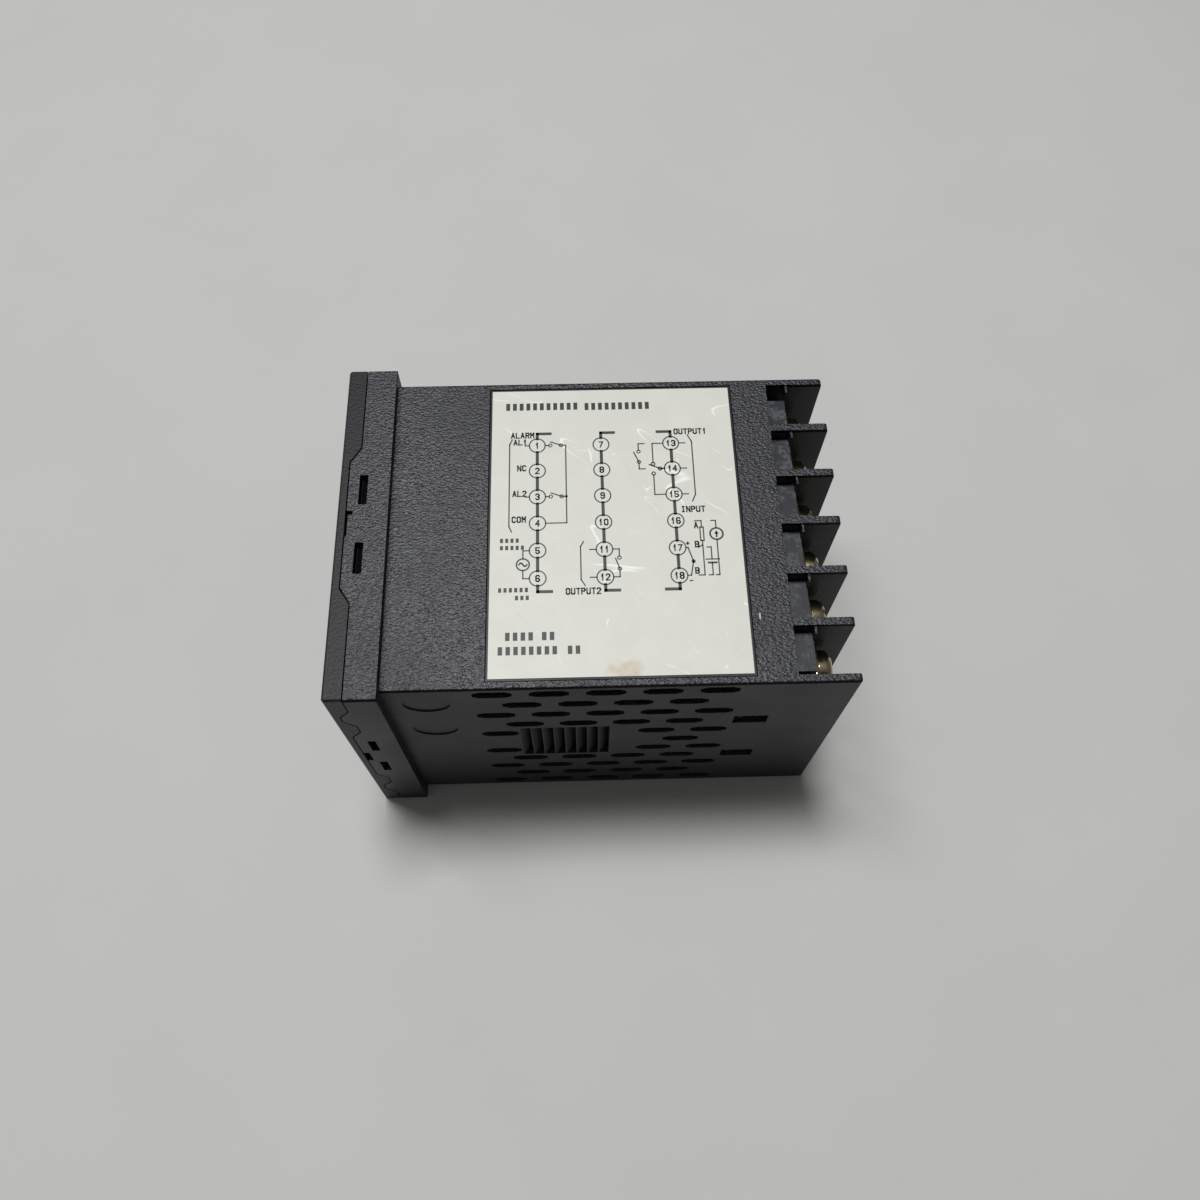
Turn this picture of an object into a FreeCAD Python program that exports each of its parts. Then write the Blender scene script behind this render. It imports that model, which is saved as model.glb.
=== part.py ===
import FreeCAD, Part
import os
import re
import Sketcher

# A 48 mm square panel controller lying on its side.
# Frame: +X runs from the front frame to the terminals, +Y is the unit's own top, +Z is its label side.
# The origin is the centre of the panel seat, the rear face of the front flange. Sizes are millimetres.

SIZES = (
    # front flange and the square tube behind it
    ("bezel_side", 48.0),
    ("bezel_depth", 6.6),
    ("bezel_corner", 0.35),
    ("bezel_edge", 0.25),
    ("ring_wall", 2.0),
    ("seat_web", 1.2),
    ("case_side", 44.8),
    ("case_wall", 1.8),
    ("case_edge", 0.3),
    ("wall_end", 51.4),
    ("case_length", 59.3),
    # stepped seam between the flange and the front frame
    ("seam_depth", 4.0),
    ("seam_gap", 0.15),
    ("tongue_depth", 5.4),
    ("tongue_half", 9.1),
    ("tongue_flare", 2.2),
    ("tab_near", 16.0),
    ("tab_far", 17.5),
    ("pry_wide", 3.7),
    ("pry_deep", 0.8),
    # snap hooks of the front frame and the windows that they show through
    ("hook_window_long", 4.4),
    ("hook_window_wide", 1.1),
    ("hook_spacing", 10.0),
    ("hook_long", 4.0),
    ("hook_rise", 0.9),
    ("hook_gap", 0.15),
    # barrier fins at the terminal end
    ("row_count", 6),
    ("row_pitch", 7.2),
    ("fin_thick", 1.0),
    ("fin_tip", 0.5),
    ("nib_start", 54.1),
    ("nib_thick", 0.3),
    ("nib_reach", 1.1),
    ("nib_high", 1.7),
    ("nib_drop", 0.3),
    # vent slots through the lower and upper walls
    ("slot_long", 5.25),
    ("slot_wide", 2.1),
    ("slot_start", 10.92),
    ("slot_pitch", 7.1),
    ("slot_stagger", 3.55),
    ("vent_row_pitch", 4.03),
    ("rows_each_side", 2),
    ("long_row_count", 5),
    ("short_row_count", 4),
    # windows for the latches of the terminal block
    ("latch_window_start", 44.9),
    ("latch_window_long", 4.6),
    ("latch_window_wide", 2.9),
    ("latch_spacing", 15.9),
    ("latch_gap", 0.25),
    ("latch_rise", 1.2),
    ("latch_flat", 0.5),
    # ratchet steps that a panel bracket clicks along
    ("ratchet_start", 16.3),
    ("ratchet_pitch", 1.533),
    ("ratchet_count", 8),
    ("ratchet_depth", 1.4),
    ("ratchet_land", 0.15),
    ("ratchet_wide", 12.4),
    # two round mould marks on the lower wall
    ("mark_radius", 3.0),
    ("mark_depth", 0.2),
    ("mark_along", 5.1),
    ("mark_high", 17.2),
    ("mark_low", 7.1),
    # label in its shallow recess
    ("label_start", 13.2),
    ("label_long", 32.8),
    ("label_wide", 42.2),
    ("label_thick", 0.12),
    ("label_margin", 0.3),
    # terminal block, contacts and screws
    ("base_front", 45.4),
    ("base_rear", 49.6),
    ("bar_rear", 53.9),
    ("lip_rear", 54.25),
    ("bar_gap", 0.15),
    ("ledge_drop", 2.2),
    ("column_pitch", 14.0),
    ("column_count", 3),
    ("contact_thick", 0.8),
    ("contact_wide", 5.9),
    ("contact_rise", 3.4),
    ("tongue_drop", 4.0),
    ("tongue_wide", 2.4),
    ("tongue_reach", 4.3),
    ("tongue_gap", 0.1),
    ("thread_hole", 1.5),
    ("shank_gap", 0.05),
    ("shank_length", 5.0),
    ("washer_side", 5.8),
    ("washer_thick", 0.5),
    ("head_radius", 2.75),
    ("head_high", 2.2),
    ("screw_pocket", 3.6),
    # circuit boards and what stands on them
    ("board_thick", 1.6),
    ("board_half", 19.6),
    ("groove_deep", 0.8),
    ("groove_gap", 0.05),
    ("panel_board_start", 1.0),
    ("panel_board_half", 20.3),
    ("board_lead", 0.6),
    ("board_margin", 0.8),
    ("header_long", 4.0),
    ("header_wide", 15.0),
    ("header_high", 2.5),
    ("post_side", 2.4),
    ("post_place", 17.6),
    # display window, displays and indicators
    ("bezel_plate", 1.6),
    ("skirt_gap", 0.15),
    ("skirt_wall", 1.2),
    ("window_half", 19.0),
    ("window_low", -6.5),
    ("window_high", 19.5),
    ("window_thick", 0.9),
    ("window_inset", 0.1),
    ("window_gap", 0.1),
    ("window_ledge", 1.4),
    ("display_gap", 0.3),
    ("process_half", 16.0),
    ("process_low", 5.6),
    ("process_high", 17.4),
    ("setpoint_left", -9.0),
    ("setpoint_right", 15.0),
    ("setpoint_low", -4.4),
    ("setpoint_high", 3.4),
    ("lamp_side", 1.4),
    ("lamp_place", -13.6),
    ("lamp_pitch", 2.1),
    ("lamp_first", 2.7),
    # keys and the switches behind them
    ("key_wide", 7.2),
    ("key_high", 4.6),
    ("key_gap", 0.15),
    ("key_count", 4),
    ("key_pitch", 9.0),
    ("key_row", -14.2),
    ("key_inset", 0.1),
    ("collar_margin", 0.7),
    ("collar_thick", 0.8),
    ("stem_side", 3.4),
    ("switch_side", 6.0),
    ("switch_high", 3.6),
    ("plunger_side", 2.8),
    ("plunger_gap", 0.15),
    ("plunger_proud", 0.8),
    ("plunger_buried", 0.5),
    ("plunger_well", 1.0),
    # larger components
    ("core_long", 17.0),
    ("core_wide", 18.0),
    ("core_high", 5.0),
    ("core_lift", 2.6),
    ("core_arm", 3.5),
    ("core_leg", 5.25),
    ("core_start", 8.0),
    ("winding_gap", 0.2),
    ("capacitor_radius", 5.0),
    ("capacitor_high", 10.0),
    ("fuse_long", 8.4),
    ("fuse_wide", 4.0),
    ("fuse_high", 7.5),
    ("relay_long", 15.0),
    ("relay_wide", 10.0),
    ("relay_high", 9.8),
    ("relay_start", 26.0),
    ("chip_side", 10.0),
    ("chip_thick", 1.4),
)

# Places that several pieces share, worked out from the sizes above.
HALF_CASE = "case_side / 2"
HALF_BEZEL = "bezel_side / 2"
RING_INNER = "(bezel_side / 2 - ring_wall)"
CASE_INNER = "(case_side / 2 - case_wall)"
SKIRT_OUTER = "(bezel_side / 2 - ring_wall - skirt_gap)"
FIRST_ROW = "((row_count - 1) / 2 * row_pitch)"
INNER_FIN = "((row_count / 2 - 1) * row_pitch)"
LEDGE = "(case_side / 2 - ledge_drop)"
PLATE_BACK = "(bezel_plate - bezel_depth)"
CONTACT_FACE = "(bar_rear + contact_thick)"
PANEL_BOARD_BACK = "(panel_board_start + board_thick)"
BOARD_FRONT = "(panel_board_start + board_thick + board_lead)"
BOARD_REAR = "(base_front + groove_deep)"
DISPLAY_FRONT = "(window_inset + window_thick + display_gap - bezel_depth)"
COLUMNS = ("column_pitch", "0 * column_pitch", "-column_pitch")
BOARDS = ("power_board", "output_board", "input_board")
KEYS = ("key_set", "key_shift", "key_down", "key_up")
RATCHET_ROW_PLACES = (0, 3, 4)
HEAD_SIDES = 20
SHANK_SIDES = 8
SLOT_END_ANGLES = (-90, -30, 30, 90)

doc = FreeCAD.newDocument("panel_controller")
sheet = doc.addObject("Spreadsheet::Sheet", "sizes")
for number, (alias, size) in enumerate(SIZES, 1):
    sheet.set(f"A{number}", alias)
    sheet.set(f"B{number}", str(size))
    sheet.setAlias(f"B{number}", alias)
doc.recompute()
subparts = []


def bound(text):
    """The expression with each size's name pointed at the sheet."""
    return re.sub(r"[a-z]+(?:_[a-z]+)+", lambda found: "sizes." + found.group(0), text)


def size_of(text):
    """The present value of an expression."""
    return float(sheet.evalExpression(bound(text)))


def plane(body, role):
    return next(item for item in body.Origin.OriginFeatures if item.Role == role)


def new_body(name):
    body = doc.addObject("PartDesign::Body", name)
    body.Label = name
    subparts.append(body)
    return body


def sketch_on(body, name, role, offset="0"):
    sketch = body.newObject("Sketcher::SketchObject", name)
    sketch.AttachmentSupport = (plane(body, role), [""])
    sketch.MapMode = "FlatFace"
    sketch.setExpression("AttachmentOffset.Base.z", bound(offset))
    return sketch


def pin(sketch, geometry, vertex, place):
    """Holds one point of a sketch at a pair of expressions."""
    for kind, text in zip(("DistanceX", "DistanceY"), place):
        rule = Sketcher.Constraint(kind, -1, 1, geometry, vertex, size_of(text))
        index = sketch.addConstraint(rule)
        sketch.setExpression(f"Constraints[{index}]", bound(text))


def outline(sketch, corners):
    """A closed outline of straight edges through corners given as pairs of expressions."""
    points = [FreeCAD.Vector(size_of(across), size_of(up), 0) for across, up in corners]
    first = sketch.GeometryCount
    count = len(points)
    for place in range(count):
        edge = Part.LineSegment(points[place], points[(place + 1) % count])
        sketch.addGeometry(edge)
    for place in range(count):
        following = first + (place + 1) % count
        sketch.addConstraint(Sketcher.Constraint("Coincident", first + place, 2, following, 1))
    for place, corner in enumerate(corners):
        pin(sketch, first + place, 1, corner)


def rectangle(sketch, left, right, low, high):
    outline(sketch, ((left, low), (right, low), (right, high), (left, high)))


def square(sketch, half):
    rectangle(sketch, f"-({half})", half, f"-({half})", half)


def circle(sketch, across, up, radius):
    centre = FreeCAD.Vector(size_of(across), size_of(up), 0)
    shape = Part.Circle(centre, FreeCAD.Vector(0, 0, 1), size_of(radius))
    geometry = sketch.addGeometry(shape)
    pin(sketch, geometry, 3, (across, up))
    index = sketch.addConstraint(Sketcher.Constraint("Radius", geometry, size_of(radius)))
    sketch.setExpression(f"Constraints[{index}]", bound(radius))


def slot(sketch, start, up):
    """One vent slot whose round ends are drawn in three straight steps."""
    radius = "slot_wide / 2"
    right = [
        (f"{start} + slot_long - {radius} + {radius} * cos({angle} deg)",
         f"{up} + {radius} * sin({angle} deg)")
        for angle in SLOT_END_ANGLES
    ]
    left = [
        (f"{start} + {radius} - {radius} * cos({angle} deg)",
         f"{up} - {radius} * sin({angle} deg)")
        for angle in SLOT_END_ANGLES
    ]
    outline(sketch, right + left)


def many_sided(sketch, across, up, radius, sides):
    """A regular outline that stands for a small circle, by its number of sides."""
    corners = []
    for number in range(sides):
        angle = f"{number} * 360 deg / {sides}"
        corners.append((f"{across} + ({radius}) * cos({angle})", f"{up} + ({radius}) * sin({angle})"))
    outline(sketch, corners)


def extrude(body, kind, name, sketch, length, side="One side", backwards=False):
    feature = body.newObject(f"PartDesign::{kind}", name)
    feature.Profile = sketch
    feature.SideType = side
    feature.Reversed = backwards
    if length:
        feature.setExpression("Length", bound(length))
    else:
        feature.Type = "ThroughAll"
    body.Tip = feature
    doc.recompute()
    return feature


def pad(body, name, sketch, length, side="One side", backwards=False):
    return extrude(body, "Pad", name, sketch, length, side, backwards)


def pocket(body, name, sketch, length, side="One side", backwards=False):
    return extrude(body, "Pocket", name, sketch, length, side, backwards)


def row_step(body, name, role, pitch, count):
    """One direction of a pattern: count copies, a pitch apart. A minus pitch runs backwards."""
    step = body.newObject("PartDesign::LinearPattern", name)
    step.Direction = (plane(body, role), [""])
    step.Reversed = size_of(pitch) < 0
    step.setExpression("Length", bound(f"abs(({pitch}) * (({count}) - 1))"))
    step.setExpression("Occurrences", bound(count))
    return step


def mirror_step(body, name, role):
    step = body.newObject("PartDesign::Mirrored", name)
    step.MirrorPlane = (plane(body, role), [""])
    return step


def turn_step(body, name, role, count):
    step = body.newObject("PartDesign::PolarPattern", name)
    step.Axis = (plane(body, role), [""])
    step.Angle = 360
    step.Occurrences = count
    return step


def repeat(body, name, originals, steps):
    """Applies pattern and mirror steps in turn to features of a body."""
    pattern = body.newObject("PartDesign::MultiTransform", name)
    pattern.Originals = originals
    pattern.Transformations = steps
    body.Tip = pattern
    doc.recompute()
    return pattern


def ease_edges(body, kind, name, size, chosen):
    """Rounds or bevels the edges of a body's present shape that a test picks."""
    base = body.Tip
    edges = [
        f"Edge{number}"
        for number, edge in enumerate(base.Shape.Edges, 1)
        if chosen(edge.BoundBox)
    ]
    feature = body.newObject(f"PartDesign::{kind}", name)
    feature.Base = (base, edges)
    feature.setExpression("Radius" if kind == "Fillet" else "Size", bound(size))
    body.Tip = feature
    doc.recompute()
    return feature


def near(value, target):
    return abs(value - target) < 0.01


def along_corner(half):
    """A test for edges that run along X at the four corners of a square."""
    corner = size_of(half)

    def chosen(box):
        flat = near(box.YLength, 0) and near(box.ZLength, 0)
        return flat and near(abs(box.YMin), corner) and near(abs(box.ZMin), corner)

    return chosen


def block(name, low, high, kept=True):
    """A plain box between two corners given as expressions."""
    box = doc.addObject("Part::Box", name)
    box.Label = name
    for side, axis, start, end in zip(("Length", "Width", "Height"), "xyz", low, high):
        box.setExpression(side, bound(f"({end}) - ({start})"))
        box.setExpression(f"Placement.Base.{axis}", bound(start))
    if kept:
        subparts.append(box)
    return box


def hollow_square(body, name, offset, outer, inner, length):
    """A square ring or tube drawn across X."""
    sketch = sketch_on(body, name + "_profile", "YZ_Plane", offset)
    square(sketch, outer)
    if inner:
        square(sketch, inner)
    return pad(body, name, sketch, length)


def tongue_side(sign, gap):
    """From the tongue's front corner out to the end of one side of the seam."""
    return (
        (f"-(tongue_depth + {gap})", f"{sign}(tongue_half + {gap})"),
        (f"-(seam_depth + {gap})", f"{sign}(tongue_half + tongue_flare + {gap})"),
    )


def side_tab(sign, gap, edge):
    """The small tab of the flange near each end of its lower and upper sides."""
    return (
        (edge, f"{sign}(tab_near - tongue_flare - {gap})"),
        (f"-(seam_depth + {gap})", f"{sign}(tab_near - tongue_flare - {gap})"),
        (f"-(tongue_depth + {gap})", f"{sign}(tab_near - {gap})"),
        (f"-(tongue_depth + {gap})", f"{sign}(tab_far + {gap})"),
        (f"-(seam_depth + {gap})", f"{sign}(tab_far + tongue_flare + {gap})"),
        (edge, f"{sign}(tab_far + tongue_flare + {gap})"),
    )


def make_flange(case):
    """The front ring, its stepped front edge, hook windows and pry notches."""
    hollow_square(case, "seat_web_ring", "-seat_web", HALF_BEZEL, CASE_INNER, "seat_web")
    hollow_square(case, "flange_ring", "-tongue_depth", HALF_BEZEL, RING_INNER,
                  "tongue_depth - seat_web")
    ease_edges(case, "Fillet", "flange_corners", "bezel_corner", along_corner(HALF_BEZEL))

    front = "-bezel_depth"
    end = f"({HALF_BEZEL} + ring_wall)"
    plain = sketch_on(case, "plain_side_steps", "XY_Plane", HALF_BEZEL)
    for sign in ("", "-"):
        inner, outer = tongue_side(sign, "0")
        outline(plain, ((front, inner[1]), inner, outer, (outer[0], sign + end), (front, sign + end)))
    steps = pocket(case, "plain_steps", plain, "ring_wall")
    repeat(case, "plain_steps_both", [steps], [mirror_step(case, "plain_steps_mirror", "XY_Plane")])

    tabbed = sketch_on(case, "tabbed_side_steps", "XZ_Plane", HALF_BEZEL)
    for sign in ("", "-"):
        inner, outer = tongue_side(sign, "0")
        tab = side_tab(sign, "0", front)
        outline(tabbed, ((front, inner[1]), inner, outer, tab[1], tab[2], (front, tab[2][1])))
        outline(tabbed, ((front, tab[3][1]), tab[3], tab[4], (tab[4][0], sign + end), (front, sign + end)))
    steps = pocket(case, "tabbed_steps", tabbed, "ring_wall")
    repeat(case, "tabbed_steps_both", [steps], [mirror_step(case, "tabbed_steps_mirror", "XZ_Plane")])

    windows = sketch_on(case, "hook_window_outlines", "XY_Plane", HALF_BEZEL)
    for sign in ("", "-"):
        near_end = f"{sign}(hook_spacing - hook_window_long) / 2"
        far_end = f"{sign}(hook_spacing + hook_window_long) / 2"
        rectangle(windows, "-seam_depth", "hook_window_wide - seam_depth", near_end, far_end)
    cut = pocket(case, "hook_windows", windows, "ring_wall")
    repeat(case, "hook_windows_all", [cut], [turn_step(case, "hook_windows_turn", "X_Axis", 4)])

    notch = sketch_on(case, "pry_notch_outline", "XY_Plane", HALF_BEZEL)
    rectangle(notch, front, "pry_deep - tongue_depth", "-pry_wide / 2", "pry_wide / 2")
    cut = pocket(case, "pry_notch", notch, "pry_deep")
    repeat(case, "pry_notches", [cut], [turn_step(case, "pry_notches_turn", "X_Axis", 4)])


def make_fins(case):
    """Seven barrier fins across the open rear end, and the small nibs beside them."""
    profile = sketch_on(case, "side_fin_profile", "XZ_Plane", f"-{HALF_CASE}")
    rectangle(profile, "base_rear", "case_length", f"-{HALF_CASE}", HALF_CASE)
    fin = pad(case, "side_fin", profile, "fin_thick")
    repeat(case, "side_fins", [fin], [mirror_step(case, "side_fin_mirror", "XZ_Plane")])

    profile = sketch_on(case, "fin_profile", "XZ_Plane", f"-({INNER_FIN} + fin_thick / 2)")
    rectangle(profile, "base_rear", "case_length", f"-{HALF_CASE}", HALF_CASE)
    fin = pad(case, "fin", profile, "fin_thick")
    repeat(case, "fins", [fin], [row_step(case, "fin_rows", "Y_Axis", "-row_pitch", "row_count - 1")])

    tip = size_of("case_length")
    half = size_of(HALF_CASE)

    def at_tip(box):
        ends = near(box.XMin, tip) and near(box.XMax, tip)
        return ends and near(abs(box.ZMin), half) and near(box.ZLength, 0)

    ease_edges(case, "Fillet", "fin_tips", "fin_tip", at_tip)

    faces = (("side_nib", f"({HALF_CASE} - fin_thick)"), ("nib", f"({INNER_FIN} - fin_thick / 2)"))
    for name, face in faces:
        nib = sketch_on(case, name + "_outline", "XY_Plane", f"{HALF_CASE} - nib_drop")
        rectangle(nib, "nib_start", "nib_start + nib_thick", f"{face} - nib_reach", face)
        grown = pad(case, name, nib, "nib_high", backwards=True)
        steps = [mirror_step(case, name + "_mirror", "XY_Plane")]
        if name == "nib":
            steps.append(row_step(case, "nib_rows", "Y_Axis", "-row_pitch", "row_count - 1"))
        repeat(case, name + "s", [grown], steps)


def cut_vents(case):
    """Staggered vent slots through the lower and upper walls, left out round the ratchet."""
    outer = sketch_on(case, "long_row_slot", "XZ_Plane")
    slot(outer, "slot_start", "(2 * rows_each_side + 1) * vent_row_pitch")
    cut = pocket(case, "long_row_vent", outer, None, "Symmetric")
    along = row_step(case, "long_row_along", "X_Axis", "slot_pitch", "long_row_count")
    down = row_step(case, "long_row_down", "Z_Axis", "-2 * vent_row_pitch", "rows_each_side")
    mirror = mirror_step(case, "long_row_mirror", "XY_Plane")
    repeat(case, "long_row_vents", [cut], [along, down, mirror])

    inner = sketch_on(case, "short_row_slot", "XZ_Plane")
    slot(inner, "slot_start + slot_stagger", "2 * rows_each_side * vent_row_pitch")
    cut = pocket(case, "short_row_vent", inner, None, "Symmetric")
    along = row_step(case, "short_row_along", "X_Axis", "slot_pitch", "short_row_count")
    down = row_step(case, "short_row_down", "Z_Axis", "-2 * vent_row_pitch", "rows_each_side")
    mirror = mirror_step(case, "short_row_mirror", "XY_Plane")
    repeat(case, "short_row_vents", [cut], [along, down, mirror])

    beside = sketch_on(case, "ratchet_row_slots", "XZ_Plane")
    for place in RATCHET_ROW_PLACES:
        slot(beside, f"slot_start + {place} * slot_pitch", "vent_row_pitch")
    cut = pocket(case, "ratchet_row_vent", beside, None, "Symmetric")
    mirror = mirror_step(case, "ratchet_row_mirror", "XY_Plane")
    repeat(case, "ratchet_row_vents", [cut], [mirror])

    middle = sketch_on(case, "middle_slot", "XZ_Plane")
    slot(middle, "slot_start + slot_stagger + (short_row_count - 1) * slot_pitch", "0 * slot_wide")
    pocket(case, "middle_vent", middle, None, "Symmetric")


def cut_side_walls(case):
    """Latch windows, bracket ratchets and mould marks of the lower and upper walls."""
    windows = sketch_on(case, "latch_window_outlines", "XZ_Plane")
    for sign in ("", "-"):
        low = f"{sign}(latch_spacing - latch_window_wide) / 2"
        high = f"{sign}(latch_spacing + latch_window_wide) / 2"
        rectangle(windows, "latch_window_start", "latch_window_start + latch_window_long", low, high)
    pocket(case, "latch_windows", windows, None, "Symmetric")

    tooth = sketch_on(case, "ratchet_tooth", "XY_Plane")
    foot = "(ratchet_start + ratchet_pitch - ratchet_land)"
    outline(tooth, (("ratchet_start", HALF_CASE), (foot, f"{HALF_CASE} - ratchet_depth"), (foot, HALF_CASE)))
    cut = pocket(case, "ratchet_step", tooth, "ratchet_wide", "Symmetric")
    along = row_step(case, "ratchet_along", "X_Axis", "ratchet_pitch", "ratchet_count")
    repeat(case, "ratchets", [cut], [along, mirror_step(case, "ratchet_mirror", "XZ_Plane")])

    marks = sketch_on(case, "mould_mark_outlines", "XZ_Plane", HALF_CASE)
    for up in ("mark_high", "mark_low"):
        circle(marks, "mark_along", up, "mark_radius")
    pocket(case, "mould_marks", marks, "mark_depth")


def make_case():
    """The one-piece moulded case."""
    case = new_body("case")
    hollow_square(case, "tube", "0", HALF_CASE, CASE_INNER, "wall_end")
    make_fins(case)
    ease_edges(case, "Fillet", "case_long_edges", "case_edge", along_corner(HALF_CASE))
    make_flange(case)
    cut_side_walls(case)
    cut_vents(case)
    recess = sketch_on(case, "label_recess_outline", "XY_Plane", HALF_CASE)
    rectangle(recess, "label_start - label_margin", "label_start + label_long + label_margin",
              "-label_wide / 2 - label_margin", "label_wide / 2 + label_margin")
    pocket(case, "label_recess", recess, "label_thick")


def make_front_bezel():
    """The front frame: plate, rim, skirt with snap hooks, and posts for the panel board."""
    bezel = new_body("front_bezel")
    hollow_square(bezel, "front_plate", "-bezel_depth", HALF_BEZEL, None, "bezel_plate")
    hollow_square(bezel, "rim", PLATE_BACK, HALF_BEZEL, SKIRT_OUTER,
                  "bezel_depth - bezel_plate - seam_depth - seam_gap")
    ease_edges(bezel, "Fillet", "rim_corners", "bezel_corner", along_corner(HALF_BEZEL))

    front = size_of("-bezel_depth")

    def at_front(box):
        return near(box.XMin, front) and near(box.XMax, front)

    ease_edges(bezel, "Chamfer", "front_edge", "bezel_edge", at_front)
    hollow_square(bezel, "skirt", PLATE_BACK, SKIRT_OUTER, f"({SKIRT_OUTER} - skirt_wall)",
                  "bezel_depth - bezel_plate - seat_web")

    bay = sketch_on(bezel, "tongue_bay_outline", "XY_Plane", HALF_BEZEL)
    low_front, low_back = tongue_side("-", "seam_gap")
    high_front, high_back = tongue_side("", "seam_gap")
    outline(bay, (low_front, high_front, high_back, ("-seat_web", high_back[1]),
                  ("-seat_web", low_back[1]), low_back))
    cut = pocket(bezel, "tongue_bay", bay, "ring_wall + skirt_gap")
    repeat(bezel, "tongue_bays", [cut], [turn_step(bezel, "tongue_bays_turn", "X_Axis", 4)])

    tabs = sketch_on(bezel, "tab_bay_outlines", "XZ_Plane", HALF_BEZEL)
    for sign in ("", "-"):
        outline(tabs, side_tab(sign, "seam_gap", "-seat_web"))
    cut = pocket(bezel, "tab_bay", tabs, "ring_wall + skirt_gap")
    repeat(bezel, "tab_bays", [cut], [mirror_step(bezel, "tab_bays_mirror", "XZ_Plane")])

    hook = sketch_on(bezel, "hook_profile", "XZ_Plane", "-(hook_spacing + hook_long) / 2")
    catch = "hook_gap - seam_depth"
    outline(hook, ((catch, SKIRT_OUTER), (catch, f"{RING_INNER} + hook_rise"),
                   ("hook_window_wide - hook_gap - seam_depth", SKIRT_OUTER)))
    grown = pad(bezel, "hook", hook, "hook_long")
    mirror = mirror_step(bezel, "hook_mirror", "XZ_Plane")
    repeat(bezel, "hooks", [grown], [mirror, turn_step(bezel, "hook_turn", "X_Axis", 4)])

    recess = sketch_on(bezel, "window_recess_outline", "YZ_Plane", "-bezel_depth")
    half = "(window_half + window_gap)"
    rectangle(recess, "window_low - window_gap", "window_high + window_gap", f"-{half}", half)
    pocket(bezel, "window_recess", recess, "window_inset + window_thick", backwards=True)
    opening = sketch_on(bezel, "window_opening_outline", "YZ_Plane", "-bezel_depth")
    half = "(window_half - window_ledge)"
    rectangle(opening, "window_low + window_ledge", "window_high - window_ledge", f"-{half}", half)
    pocket(bezel, "window_opening", opening, "bezel_plate", backwards=True)

    hole = sketch_on(bezel, "key_hole_outline", "YZ_Plane", "-bezel_depth")
    left = f"{key_place(0)} - key_wide / 2 - key_gap"
    right = f"{key_place(0)} + key_wide / 2 + key_gap"
    rectangle(hole, "key_row - key_high / 2 - key_gap", "key_row + key_high / 2 + key_gap", left, right)
    cut = pocket(bezel, "key_hole", hole, "bezel_plate", backwards=True)
    repeat(bezel, "key_holes", [cut], [row_step(bezel, "key_hole_row", "Z_Axis", "key_pitch", "key_count")])

    post = sketch_on(bezel, "post_outline", "YZ_Plane", PLATE_BACK)
    rectangle(post, "post_place", "post_place + post_side", "post_place", "post_place + post_side")
    grown = pad(bezel, "post", post, "bezel_depth - bezel_plate + panel_board_start")
    steps = [mirror_step(bezel, "post_mirror_up", "XZ_Plane"),
             mirror_step(bezel, "post_mirror_side", "XY_Plane")]
    repeat(bezel, "posts", [grown], steps)


def key_place(number):
    return f"({number} - (key_count - 1) / 2) * key_pitch"


def make_key(number):
    """A key cap with its retaining collar and stem, the switch behind it and that switch's plunger."""
    key = new_body(KEYS[number])
    key.setExpression("Placement.Base.z", bound(key_place(number)))
    cap = sketch_on(key, f"cap_{number}", "YZ_Plane", "key_inset - bezel_depth")
    rectangle(cap, "key_row - key_high / 2", "key_row + key_high / 2", "-key_wide / 2", "key_wide / 2")
    pad(key, f"cap_pad_{number}", cap, "bezel_plate - key_inset")
    collar = sketch_on(key, f"collar_{number}", "YZ_Plane", PLATE_BACK)
    rectangle(collar, "key_row - key_high / 2 - collar_margin", "key_row + key_high / 2 + collar_margin",
              "-key_wide / 2 - collar_margin", "key_wide / 2 + collar_margin")
    pad(key, f"collar_pad_{number}", collar, "collar_thick")
    stem = sketch_on(key, f"stem_{number}", "YZ_Plane", PLATE_BACK)
    rectangle(stem, "key_row - stem_side / 2", "key_row + stem_side / 2", "-stem_side / 2", "stem_side / 2")
    pad(key, f"stem_pad_{number}", stem,
        f"panel_board_start - switch_high - plunger_proud - {PLATE_BACK}")

    front = "(panel_board_start - switch_high)"
    body = block(f"switch_body_{number}",
                 (front, "key_row - switch_side / 2", "-switch_side / 2"),
                 ("panel_board_start", "key_row + switch_side / 2", "switch_side / 2"), kept=False)
    half = "(plunger_side / 2 + plunger_gap)"
    well = block(f"switch_well_{number}",
                 (front, f"key_row - {half}", f"-{half}"),
                 (f"{front} + plunger_well", f"key_row + {half}", half), kept=False)
    switch = doc.addObject("Part::Cut", f"key_switch_{number + 1}")
    switch.Label = f"key_switch_{number + 1}"
    switch.Base = body
    switch.Tool = well
    switch.setExpression("Placement.Base.z", bound(key_place(number)))
    subparts.append(switch)
    block(f"switch_plunger_{number + 1}",
          (f"{front} - plunger_proud", "key_row - plunger_side / 2",
           f"{key_place(number)} - plunger_side / 2"),
          (f"{front} + plunger_buried", "key_row + plunger_side / 2",
           f"{key_place(number)} + plunger_side / 2"))


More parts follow.
